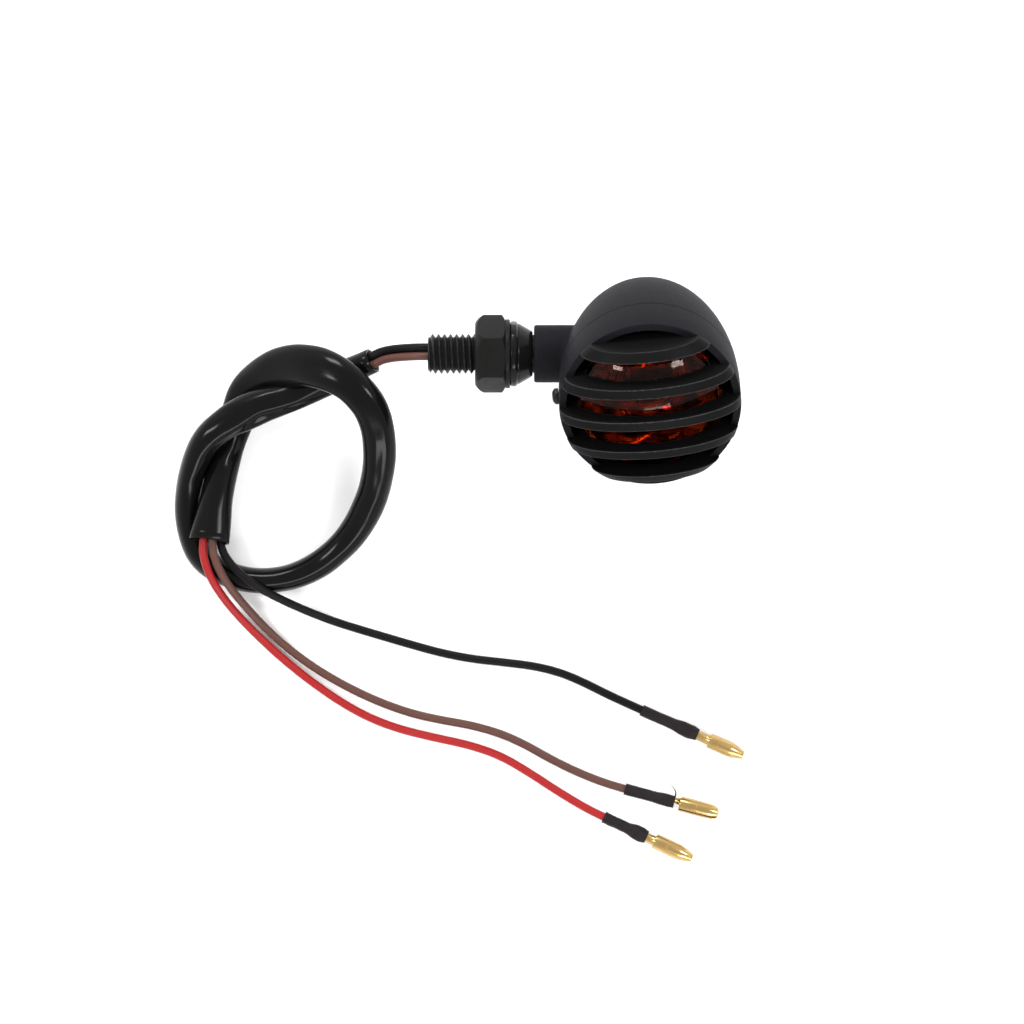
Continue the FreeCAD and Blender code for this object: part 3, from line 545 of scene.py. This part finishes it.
def sleeve_radii(part, length):
    """Half width and half height of the thin sleeve where it is pressed flat, along its length."""
    way = part * length
    flat = flatness(part) + 0.05 * noise.noise(Vector((way * 60, 1.7, 0.3)))
    half = SLEEVE_DIAMETER / 2 * MM * (1.02 - 0.14 * bump(way, 0, 9 * MM))
    if flat < 0:
        return half * (1 + 0.55 * flat), half * (1 - 0.6 * flat)
    return half * (1 + 0.88 * flat), half * (1 - 0.5 * flat)


def crease(part, way, angle):
    """Long wavy folds in the thin wall."""
    shape = 1
    for turn, sway, depth, middle, reach in FOLDS:
        bend = 2 * sway * noise.noise(Vector((way * 110, turn, 0.5)))
        off = (angle - turn - bend + math.pi) % (2 * math.pi) - math.pi
        wave = 0.75 + 0.5 * noise.noise(Vector((way * 260, turn, 3.5)))
        fold = math.exp(-(off / 0.26) ** 2) - 0.5 * math.exp(-((off - 0.5) / 0.3) ** 2)
        shape -= depth * wave * bump(part, middle, reach) * fold
    return shape


SLEEVE_SIDES = 40
SLEEVE_WALL = 0.45 * MM
SLEEVE_OPEN_DEPTH = 14 * MM


def sleeve_loops(line):
    """Each ring of the sleeve with its inset: the inner wall at one end, the outside, the other end."""
    length = line_length(line)
    rings = []
    way = 0
    previous = line[0]
    for here, across, over in line_frames(line):
        way += (here - previous).length
        previous = here
        wide, tall = sleeve_radii(way / length, length)
        rings.append((here, across, over, wide, tall, way))
    tail = [ring for ring in rings if length - ring[5] < SLEEVE_OPEN_DEPTH]
    head = [ring for ring in rings if ring[5] < SLEEVE_OPEN_DEPTH]
    loops = [(ring, SLEEVE_WALL) for ring in reversed(head)][:-1] + [(rings[0], SLEEVE_WALL)]
    loops += [(ring, 0) for ring in rings]
    return loops + [(rings[-1], SLEEVE_WALL)] + [(ring, SLEEVE_WALL) for ring in reversed(tail)][1:]


def sleeve_skin(line):
    """The outer wall of the sleeve, folded in at both open ends to a thin lip and an inner wall."""
    length = line_length(line)
    loops = sleeve_loops(line)
    points = []
    for (here, across, over, wide, tall, way), inset in loops:
        for side in range(SLEEVE_SIDES):
            angle = 2 * math.pi * side / SLEEVE_SIDES
            spot = Vector((way * 150, math.cos(angle) * 1.1, math.sin(angle) * 1.1))
            dent = (1 + 0.022 * noise.noise(spot)) * crease(way / length, way, angle)
            x = (wide * dent - inset) * math.cos(angle)
            y = (tall * dent - inset) * math.sin(angle)
            point = here + across * x + over * y
            point.z = max(point.z, FLOOR + 0.03 * MM)
            points.append(point)
    return points, tube_faces(len(loops), SLEEVE_SIDES)


def add_sleeve(look):
    line = read_line(SLEEVE_ROUTE)
    points, faces = sleeve_skin(line)
    mesh = bpy.data.meshes.new("vinyl_sleeve")
    mesh.from_pydata([tuple(point) for point in points], [], faces)
    mesh.shade_smooth()
    sleeve = bpy.data.objects.new("vinyl_sleeve", mesh)
    bpy.context.collection.objects.link(sleeve)
    finish_piece(sleeve, look, "stem", "sleeve_vinyl", "cable_sleeve")
    return sleeve


def add_wires(looks):
    for colour, seat in SEATS.items():
        route = stem_wire_route(seat)
        wire = cord_curve("wire_" + colour, route, WIRE_DIAMETER)
        finish_piece(wire, looks[colour], "stem", "wire_" + colour, "stem_wire_" + colour)
        line_length(read_line(route))
    for colour, route in LEAD_ROUTES.items():
        lead = cord_curve("long_lead_" + colour, route, WIRE_DIAMETER)
        finish_piece(lead, looks[colour], "stem", "wire_" + colour, "lead_" + colour)
        ends = add_terminal(colour, route)
        line_length(read_line(route))


SHRINK_LENGTHS = {"red": 12.0, "brown": 13.0, "black": 15.5}
WIRE_IN_SHRINK = 7.0


def end_frame(route):
    """Millimetre frame whose Z runs on from the lead's last run, at the heat-shrink's start."""
    end = Vector(route[-1])
    ahead = (end - Vector(route[-2])).normalized()
    start = (end - ahead * WIRE_IN_SHRINK) * MM
    turn = ahead.to_track_quat("Z", "Y").to_matrix().to_4x4()
    return Matrix.Translation(start) @ turn @ Matrix.Scale(MM, 4)


# how far each heat-shrink swells over its crimp, in millimetres
SWELLS = {"red": 0.55, "brown": 0.2, "black": 0.42}


def shrink_tube(name, length, place, seed, bulge):
    """Heat-shrink that has drawn in over the wire and swells over the crimp."""
    rings = 60
    sides = 36
    levels = [(0.5, 1.12), (0.0, 1.15)]
    for ring in range(rings + 1):
        part = ring / rings
        swell = 0.5 + 0.5 * math.tanh((part - 0.66) * 14)
        lip = 0.1 * math.exp(-(part * length / 0.35) ** 2)
        radius = 1.42 + lip + bulge * swell - 0.7 * bulge * swell * max(0, part - 0.88) * 8
        levels.append((part * length, radius))
    levels += [(length, 1.4), (length - 1.5, 1.35)]
    points = []
    for index, (level, radius) in enumerate(levels):
        for side in range(sides):
            angle = 2 * math.pi * side / sides
            spot = Vector((level * 0.5 + seed, math.cos(angle) * 1.4, math.sin(angle) * 1.4 - seed))
            skin = 2 <= index < len(levels) - 2
            lumps = 0.07 * noise.noise(spot) + 0.035 * noise.noise(spot * 2.9)
            bumpy = radius * (1 + lumps * skin)
            points.append((bumpy * math.cos(angle), bumpy * math.sin(angle), level))
    return mesh_object(name, points, tube_faces(len(levels), sides), place)


# for each bullet: the turn of its seam, half its neck's open angle, its neck's length, where its
# nose starts, and the radii of its round or tapered tip
BULLETS = {
    "red": (-60, 80, 2.3, 8.8, (1.86, 1.52, 1.16, 1.0)),
    "brown": (135, 118, 1.4, 7.6, (1.92, 1.84, 1.48, 0.8)),
    "black": (-70, 62, 3.3, 8.8, (1.84, 1.5, 1.12, 0.98)),
}


def bullet_sheet(name, start, turn, neck_gap, neck, nose, tip, place):
    """Rolled brass bullet: an open neck, a barrel with its seam, and a blunt tip."""
    barrel = start + neck
    nose += start
    stations = [
        (start - 3.0, 1.2, 60), (start - 0.2, 1.26, neck_gap), (barrel - 0.4, 1.3, neck_gap),
        (barrel - 0.05, 1.5, neck_gap - 4), (barrel, 1.88, 9), (barrel + 0.15, 1.93, 7),
        (start + 5.6, 1.95, 6), (start + 5.72, 1.86, 6), (start + 5.84, 1.95, 6), (nose, 1.94, 6),
        (nose + 1.0, tip[0], 7), (nose + 2.3, tip[1], 9), (nose + 3.5, tip[2], 13),
        (nose + 3.9, tip[3], 15),
    ]
    sides = 60
    points = []
    for level, radius, gap in stations:
        for side in range(sides + 1):
            angle = math.radians(turn + gap + (360 - 2 * gap) * side / sides)
            points.append((radius * math.cos(angle), radius * math.sin(angle), level))
    faces = []
    row = sides + 1
    for station in range(len(stations) - 1):
        for side in range(sides):
            faces.append((station * row + side, station * row + side + 1,
                          (station + 1) * row + side + 1, (station + 1) * row + side))
    sheet = mesh_object(name, points, faces, place)
    thick = sheet.modifiers.new("sheet", "SOLIDIFY")
    thick.thickness = 0.32 * MM
    thick.offset = -1
    bake(sheet)
    return sharpen(sheet, 32)


def frayed_strand(place, length):
    """The loose end of tape that curls up beside the brown lead's crimp."""
    curl = cord_curve("frayed_strand", [(0, 0, 0)] * 5, 0.5)
    side = place.to_3x3().inverted() @ Vector((0, 1, 0.25))
    side.z = 0
    side.normalize()
    strand = [(0.9, -0.6), (1.5, -0.15), (2.5, -0.2), (3.4, -0.8), (4.1, -1.9)]
    for point, (out, along) in zip(curl.data.splines[0].points, strand):
        point.co = (*(place @ (side * out + Vector((0, 0, length + along)))), 1)
        point.radius = 1.1 - 0.18 * out
    return finish_piece(curl, LOOKS["shrink_tube"], "stem", "shrink_tube")


def add_terminal(colour, route):
    place = end_frame(route)
    length = SHRINK_LENGTHS[colour]
    seed = {"red": 0.0, "brown": 5.0, "black": 9.0}[colour]
    shrink = shrink_tube("shrink_" + colour, length, place, seed, SWELLS[colour])
    finish_piece(shrink, LOOKS["shrink_tube"], "stem", "shrink_tube", "heat_shrink_" + colour)
    bullet = bullet_sheet("bullet_" + colour, length, *BULLETS[colour], place)
    finish_piece(bullet, LOOKS["gold_brass"], "stem", "gold_brass", "bullet_terminal_" + colour)
    if colour == "brown":
        frayed_strand(place, length)
    return [shrink, bullet]


# ---------------------------------------------------------------- stem, nut, washer and collar

THREAD_PITCH = 1.5
THREAD_RADIUS = 5.0
THREAD_DEPTH = 0.92
THREAD_END = 20.5
STEM_BORE = 3.0
SHANK_RADIUS = 4.8


def thread_radius(level, angle):
    """Radius of a right-hand thread, with flat crests, rounded roots and a chamfered first turn."""
    phase = (level / THREAD_PITCH - angle / (2 * math.pi)) % 1
    fall = abs(phase - 0.5) * 2
    drop = min(1, max(0, (fall - 0.14) / 0.8))
    radius = THREAD_RADIUS - THREAD_DEPTH * (1.06 * drop - 0.06 * drop * drop)
    return min(radius, THREAD_RADIUS - 0.95 + level * 1.05)


def add_stem():
    """The stem bolt with its cut thread, its plain shank and its bore."""
    sides = 120
    rows = []
    step = THREAD_PITCH / 16
    level = 0.0
    while level < THREAD_END:
        rows.append([(thread_radius(level, 2 * math.pi * side / sides), level) for side in range(sides)])
        level += step
    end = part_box("stem_bolt")[1][0] / MM
    plain = [(THREAD_RADIUS - 0.6, THREAD_END), (SHANK_RADIUS, THREAD_END + 0.1), (SHANK_RADIUS, end - 0.4)]
    plain += [(SHANK_RADIUS - 0.4, end), (STEM_BORE + 0.2, end), (STEM_BORE, end - 0.2)]
    plain += [(STEM_BORE, 0.4), (STEM_BORE + 0.35, 0.0)]
    for radius, height in plain:
        rows.append([(radius, height)] * sides)
    points = []
    for row in rows:
        for side, (radius, height) in enumerate(row):
            angle = 2 * math.pi * side / sides
            points.append((radius * math.cos(angle), radius * math.sin(angle), height))
    faces = []
    for index in range(len(rows)):
        onward = (index + 1) % len(rows)
        for side in range(sides):
            beside = (side + 1) % sides
            faces.append((index * sides + side, index * sides + beside,
                          onward * sides + beside, onward * sides + side))
    bolt = sharpen(mesh_object("threaded_stem", points, faces, STEM), 50)
    finish_piece(bolt, LOOKS["black_steel"], "stem", "black_steel", "stem_bolt")


NUT_TURN = 39
NUT_FLATS = 17.0
COLLAR_FLATS = 15.8
COLLAR_FOOT = 2.0


def add_nut():
    """Hex nut with both faces chamfered by a turned blank."""
    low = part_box("mounting_nut")[0][0] / MM
    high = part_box("mounting_nut")[1][0] / MM
    nut = hex_prism("hex_nut", NUT_FLATS, low, high, NUT_TURN, STEM)
    corner = NUT_FLATS / 2 / math.cos(math.radians(30))
    blank = [(5.05, low + 0.5, 0), (5.6, low, 0), (7.9, low, 0.5), (9.15, low + 1.1, 1.2),
             (corner + 0.1, low + 2.3, 0), (corner + 0.1, high - 0.8, 0), (8.7, high, 0.3),
             (5.6, high, 0), (5.05, high - 0.5, 0)]
    carve(nut, revolve("nut_blank", rounded(blank), STEM, 128), "INTERSECT")
    sharpen(soften_edges(nut, 0.28 * MM, 3, 25), 40)
    finish_piece(nut, LOOKS["nut_steel"], "nut", "black_steel", "mounting_nut")


def add_washer():
    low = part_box("mounting_washer")[0][0] / MM
    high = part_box("mounting_washer")[1][0] / MM
    outline = [(5.2, low, 0.1), (8.65, low, 0.35), (8.65, high, 0.35), (5.2, high, 0.1)]
    washer = sharpen(revolve("flat_washer", rounded(outline), STEM, 128), 50)
    finish_piece(washer, LOOKS["nut_steel"], "washer", "black_steel", "mounting_washer")


def add_collar():
    """Tapered collar that ends in a thin six-sided foot."""
    low, high = (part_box("cone_collar")[side][0] / MM for side in (0, 1))
    foot = hex_prism("cone_collar_skin", COLLAR_FLATS, low, low + COLLAR_FOOT, 14, STEM)
    ring = [(4.9, low, 0), (7.95, low, 0.3), (8.2, low + 0.5, 0.2), (8.2, low + 1.4, 0.3),
            (7.6, low + COLLAR_FOOT, 0), (4.9, low + COLLAR_FOOT, 0)]
    carve(foot, revolve("foot_limit", rounded(ring), STEM, 128), "INTERSECT")
    cone = [(4.85, low + 1.0, 0), (7.6, low + 1.0, 0), (7.6, low + 2.2, 0.25), (5.85, high - 0.4, 0.3),
            (5.4, high, 0.2), (4.85, high, 0)]
    carve(foot, revolve("collar_cone", rounded(cone), STEM, 128), "UNION")
    sharpen(soften_edges(foot, 0.12 * MM, 2, 30), 40)
    finish_piece(foot, LOOKS["gloss_collar"], "stem", "gloss_collar", "cone_collar")


# ---------------------------------------------------------------- head

def egg_outline(low, high, depth, radius, steps):
    """Points up the back of the bullet from its tail, evenly spaced in angle, to its shoulder."""
    outline = []
    tail = depth - SHOULDER
    first = math.asin(max(-1, (low + SHOULDER) / tail))
    last = math.asin(min(0, (high + SHOULDER) / tail))
    for step in range(steps + 1):
        angle = first + (last - first) * step / steps
        outline.append((radius * math.cos(angle), tail * math.sin(angle) - SHOULDER))
    if high > -SHOULDER:
        outline.append((radius, high))
    return outline


def add_housing():
    """Hollow bullet with the stem's boss, as one casting."""
    outer = egg_outline(-BACK_DEPTH, -SEAM_DEPTH, BACK_DEPTH, RIM_RADIUS, 60)
    depth = BACK_DEPTH - SHELL_WALL
    inner = egg_outline(-depth, -SEAM_DEPTH, depth, RIM_RADIUS - SHELL_WALL, 40)
    lip = [(SKIRT_BORE - 0.1, -SEAM_DEPTH), (SKIRT_BORE - 0.1, -6.6), (19.05, -6.6), (19.05, -SEAM_DEPTH - 2)]
    outline = outer + lip + list(reversed(inner[:-3]))
    shell = revolve("bullet_housing", [Vector(point) for point in outline], HEAD, 160)
    boss_axis = Matrix.Translation((0, 0, -STEM_DROP)) @ Matrix.Rotation(math.radians(90), 4, "Y")
    start = BOSS_START - RIM_CENTRE.x / MM
    boss = [(5.05, start, 0), (7.2, start, 0.3), (7.2, start + 14.5, 0), (5.05, start + 14.5, 0)]
    carve(shell, revolve("boss_skin", rounded(boss), HEAD @ boss_axis, 96), "UNION")
    drill = [(0, start - 1, 0), (5.1, start - 1, 0), (5.1, start + 16, 0), (0, start + 16, 0)]
    carve(shell, revolve("boss_drill", rounded(drill), HEAD @ boss_axis, 96))
    cast_skin(shell, 0.3 * MM, 3)
    finish_piece(shell, LOOKS["matte_shell"], "head", "matte_shell", "housing")


def grille_blank():
    """The dome's solid with the lens's room hollowed out, from the blade roots to the front."""
    outline = []
    steps = 60
    for step in range(steps + 1):
        angle = math.pi / 2 * step / steps
        outline.append((RIM_RADIUS * math.cos(angle), DOME_HEIGHT * math.sin(angle)))
    clear = LENS_RADIUS + 0.4
    # the outermost bars reach only 0.5 mm past the lens's side, so the room there is close
    column = LENS_EDGE + 0.15
    meet = math.acos(column / clear)
    for step in range(41):
        angle = math.pi / 2 + (meet - math.pi / 2) * step / 40
        outline.append((clear * math.cos(angle), LENS_CENTRE + clear * math.sin(angle)))
    outline += [(column, -3.5), (SKIRT_BORE + 0.6, -3.5), (SKIRT_BORE + 0.6, -0.6), (RIM_RADIUS - 0.3, -0.6)]
    return revolve("grille_bars", [Vector(point) for point in outline], HEAD, 192)


def add_grille():
    """Five flat bars cut from the dome, with a highlight painted along their edges."""
    bars = grille_blank()
    turned = HEAD @ Matrix.Rotation(CLOCK, 4, "Z")
    slabs = None
    for number in range(-2, 3):
        middle = number * BAR_PITCH
        limits = (middle - BAR_THICK / 2, middle + BAR_THICK / 2)
        slab = block("slab", (-26, 26), limits, (-5, 14), turned)
        slabs = slab if slabs is None else carve(slabs, slab, "UNION")
    carve(bars, slabs, "INTERSECT")
    seat = screw_rod("screw_room", SCREW_ROOM, 21.7, 26)
    carve(bars, seat)
    cast_skin(bars, 0.17 * MM, 1)
    # paint a highlight along the bars' sharp edges
    mark_edges(bars, 0.06, 0.16)
    # the bars take a darker copy of the housing's paint, as painted shade
    finish_piece(bars, LOOKS["matte_bars"], "head", "matte_shell", "grille_cover")


def add_rim():
    """The grille's base ring, which carries on the housing's outline."""
    outer = egg_outline(-SEAM_DEPTH + 0.03, -0.3, BACK_DEPTH, RIM_RADIUS, 16)
    outline = outer + [(RIM_RADIUS - 0.1, 0.0), (SKIRT_BORE, 0.0), (SKIRT_BORE, -SEAM_DEPTH + 0.03)]
    rim = revolve("grille_rim", [Vector(point) for point in outline], HEAD, 192)
    carve(rim, screw_rod("screw_room", SCREW_ROOM, 21.7, 26))
    sharpen(rim, 35)
    finish_piece(rim, LOOKS["matte_shell"], "head", "matte_shell", "grille_cover")


def screw_frame():
    """Millimetre frame on the cover screw's axis, with Z out of the rim and Z = 0 on the lens axis."""
    centre = RIM_CENTRE - LENS_AXIS * SCREW_LEVEL * MM
    turn = SCREW_AXIS.to_track_quat("Z", "Y").to_matrix().to_4x4()
    return Matrix.Translation(centre) @ turn @ Matrix.Scale(MM, 4)


def screw_rod(name, radius, low, high):
    return revolve(name, [Vector(point) for point in ((0, low), (radius, low), (radius, high), (0, high))],
                   screw_frame(), 48)


def add_screw():
    """Pan-head screw with a cross recess."""
    seat = 22.1
    head = [(0, 19.3, 0), (1.15, 19.3, 0), (1.15, seat + 0.35, 0), (2.0, seat + 0.35, 0.15),
            (2.05, seat + 1.3, 0.35), (1.2, seat + 1.95, 0.5), (0, seat + 2.0, 0)]
    screw = revolve("pan_screw", rounded(head), screw_frame(), 64)
    for turn in (20, 110):
        spin = screw_frame() @ Matrix.Rotation(math.radians(turn), 4, "Z")
        carve(screw, block("arm", (-1.15, 1.15), (-0.24, 0.24), (seat + 1.05, seat + 2.6), spin))
    sharpen(soften_edges(screw, 0.05 * MM, 2, 40), 40)
    finish_piece(screw, LOOKS["black_steel"], "screw", "black_steel", "cover_screw")


def add_lens():
    """Domed shell with a straight side and a foot that turns outwards."""
    outline = []
    top = math.pi / 2
    for radius, edge in ((LENS_RADIUS, LENS_EDGE), (LENS_RADIUS - LENS_WALL, LENS_EDGE - LENS_WALL)):
        meet = math.acos(edge / radius)
        arc = []
        for step in range(49):
            angle = top + (meet - top) * step / 48
            arc.append((radius * math.cos(angle), LENS_CENTRE + radius * math.sin(angle)))
        if radius == LENS_RADIUS:
            outline += arc + [(edge, -3.5), (20.2, -3.5), (20.2, -5.0), (edge - LENS_WALL, -5.0)]
        else:
            outline += reversed(arc)
    lens = revolve("smoked_lens", [Vector(point) for point in outline], HEAD, 160)
    sharpen(lens, 50)
    finish_piece(lens, LOOKS["smoked_amber"], "head", "smoked_amber", "lens")


def add_reflector():
    """Pressed bowl with flat three-cornered facets in two rows."""
    facets = 10
    levels = [(18.0, -6.1), (14.4, -10.4), (9.2, -15.2)]
    points = []
    for level, (radius, height) in enumerate(levels):
        for facet in range(facets):
            angle = 2 * math.pi * (facet + 0.5 * (level % 2)) / facets
            points.append((radius * math.cos(angle), radius * math.sin(angle), height))
    faces = []
    for level in range(len(levels) - 1):
        for facet in range(facets):
            onward = (facet + 1) % facets
            low = level * facets
            high = low + facets
            if level % 2 == 0:
                faces.append((low + facet, low + onward, high + facet))
                faces.append((low + onward, high + onward, high + facet))
            else:
                faces.append((low + facet, high + onward, high + facet))
                faces.append((low + facet, low + onward, high + onward))
    bowl = mesh_object("reflector_bowl", points, faces, HEAD, smooth=False)
    thick = bowl.modifiers.new("sheet", "SOLIDIFY")
    thick.thickness = 0.4 * MM
    thick.offset = -1
    bake(bowl)
    finish_piece(bowl, LOOKS["reflector_metal"], "head", "reflector_metal", "reflector")


def add_bulb_glass():
    """Thin-walled round envelope on a straight neck."""
    neck = 6.8
    radius = 9.0
    centre = -8.0
    outline = [Vector((neck, -20)), Vector((neck, -14.2))]
    start = math.asin(-5.9 / radius)
    for step in range(41):
        angle = start + (math.pi / 2 - start) * step / 40
        outline.append(Vector((radius * math.cos(angle), centre + radius * math.sin(angle))))
    inside = [Vector((max(0, point.x - 0.8), min(point.y, centre + radius - 0.8))) for point in outline]
    glass = revolve("bulb_envelope", outline + list(reversed(inside)), HEAD, 96)
    finish_piece(glass, LOOKS["bulb_glass"], "bulb", "bulb_glass", "bulb_glass")


# ---------------------------------------------------------------- looks

BLACK_STEEL = (0.005, 0.005, 0.0053)
LOOKS = {
    "black_steel": material("black_oxide", BLACK_STEEL, 0.3, grain=(2500, 0.000004),
                            mottle=(900, (0.009, 0.009, 0.0095), 0.12), Specular_IOR_Level=0.15),
    "nut_steel": material("black_nut", (0.0055, 0.0055, 0.0056), 0.34, grain=(1500, 0.000004),
                          mottle=(500, (0.008, 0.0075, 0.007), 0.1), Specular_IOR_Level=0.075),
    "gloss_collar": material("gloss_black_collar", (0.003, 0.003, 0.0033), 0.16, grain=(1200, 0.000003),
                             mottle=(400, (0.005, 0.005, 0.005), 0.06), Specular_IOR_Level=0.12),
    "matte_shell": material("grained_black_paint", (0.0055, 0.0055, 0.007), 0.5, grain=(3800, 0.00002),
                            mottle=(2400, (0.0105, 0.0103, 0.0128), 0.12), Specular_IOR_Level=0.034),
    # the housing's black paint made darker on the bars as painted shade; its edge colour is a painted
    # highlight
    "matte_bars": material("grained_black_bars_painted_shade", (0.0038, 0.0039, 0.004), 0.4, grain=(3800, 0.000015),
                           mottle=(2400, (0.0052, 0.0052, 0.0053), 0.12), Specular_IOR_Level=0.04,
                           highlight_colour=(0.045, 0.045, 0.048)),
    "smoked_amber": material("smoked_amber_lens", (0.34, 0.11, 0.028), 0.03, grain=(260, 0.000003),
                             mottle=(140, (0.3, 0.104, 0.028), 0.03),
                             Transmission_Weight=1.0, IOR=1.2),
    "reflector_metal": material("metallised_bowl", (0.8, 0.8, 0.8), 0.05, metallic=1.0,
                                mottle=(300, (0.78, 0.78, 0.78), 0.05)),
    "bulb_glass": material("amber_bulb_glass", (1.0, 0.68, 0.3), 0.02, grain=(200, 0.000002),
                           mottle=(150, (0.95, 0.64, 0.27), 0.03), Transmission_Weight=1.0, IOR=1.5),
    "sleeve_vinyl": material("gloss_vinyl_sleeve", (0.0026, 0.0026, 0.0028), 0.13, grain=(420, 0.000008),
                             mottle=(160, (0.0042, 0.0036, 0.0034), 0.08), Specular_IOR_Level=0.1),
    "shrink_tube": material("heat_shrink_skin", (0.0095, 0.0072, 0.008), 0.42, grain=(1400, 0.00003),
                            mottle=(700, (0.017, 0.0135, 0.015), 0.16), Specular_IOR_Level=0.08),
    "gold_brass": material("rolled_brass", (0.58, 0.405, 0.165), 0.17, metallic=1.0, grain=(1400, 0.0000015),
                           mottle=(500, (0.36, 0.235, 0.085), 0.14)),
    "spring_steel": material("bright_spring_steel", (0.55, 0.55, 0.56), 0.3, metallic=1.0,
                             grain=(1500, 0.000004), mottle=(600, (0.42, 0.42, 0.43), 0.1)),
    "nbr_rubber": material("seal_rubber", (0.02, 0.02, 0.02), 0.6, grain=(2500, 0.00001),
                           mottle=(900, (0.03, 0.03, 0.03), 0.1)),
    "holder_steel": material("zinc_plate", (0.6, 0.6, 0.58), 0.32, metallic=1.0, grain=(1500, 0.000004),
                             mottle=(400, (0.5, 0.5, 0.47), 0.12)),
    "paper_laminate": material("brown_laminate", (0.2, 0.08, 0.035), 0.5, grain=(1800, 0.00001),
                               mottle=(600, (0.27, 0.12, 0.05), 0.1)),
    "nickel_brass": material("drawn_brass", (0.72, 0.58, 0.3), 0.28, metallic=1.0, grain=(1500, 0.000004),
                             mottle=(500, (0.6, 0.46, 0.22), 0.12)),
    "solder": material("solder_dome", (0.66, 0.66, 0.66), 0.35, metallic=1.0, grain=(2500, 0.00001),
                       mottle=(900, (0.55, 0.55, 0.55), 0.1)),
    "filament": material("tungsten", (0.3, 0.3, 0.32), 0.4, metallic=1.0, grain=(4000, 0.00001),
                         mottle=(900, (0.24, 0.24, 0.25), 0.1)),
}
WIRE_LOOKS = {
    "black": material("black_insulation", (0.0036, 0.003, 0.0032), 0.36, grain=(900, 0.000006),
                      mottle=(300, (0.0055, 0.0046, 0.0048), 0.1), Specular_IOR_Level=0.09),
    "brown": material("brown_insulation", (0.073, 0.031, 0.0235), 0.36, grain=(900, 0.000006),
                      mottle=(300, (0.088, 0.038, 0.029), 0.1), Specular_IOR_Level=0.2),
    "red": material("red_insulation", (0.255, 0.0085, 0.009), 0.36, grain=(900, 0.000006),
                    mottle=(300, (0.29, 0.012, 0.013), 0.1), Specular_IOR_Level=0.2),
}


def dress_cad_nodes():
    """Give each CAD node that stays its own material, by the slot that the record names."""
    looks = dict(LOOKS)
    looks.update({"wire_" + colour: look for colour, look in WIRE_LOOKS.items()})
    for entry in frame["record"]["subparts"]:
        node = bpy.data.objects.get(entry["node"])
        if node is None or entry["material_slot"] not in looks:
            continue
        node.data.materials.clear()
        node.data.materials.append(looks[entry["material_slot"]])


# ---------------------------------------------------------------- build

bpy.context.scene.view_settings.view_transform = "Standard"
add_camera()
add_sleeve(LOOKS["sleeve_vinyl"])
add_wires(WIRE_LOOKS)
add_stage()
dress_cad_nodes()
add_stem()
add_nut()
add_washer()
add_collar()
add_housing()
add_grille()
add_rim()
add_screw()
add_lens()
add_reflector()
add_bulb_glass()
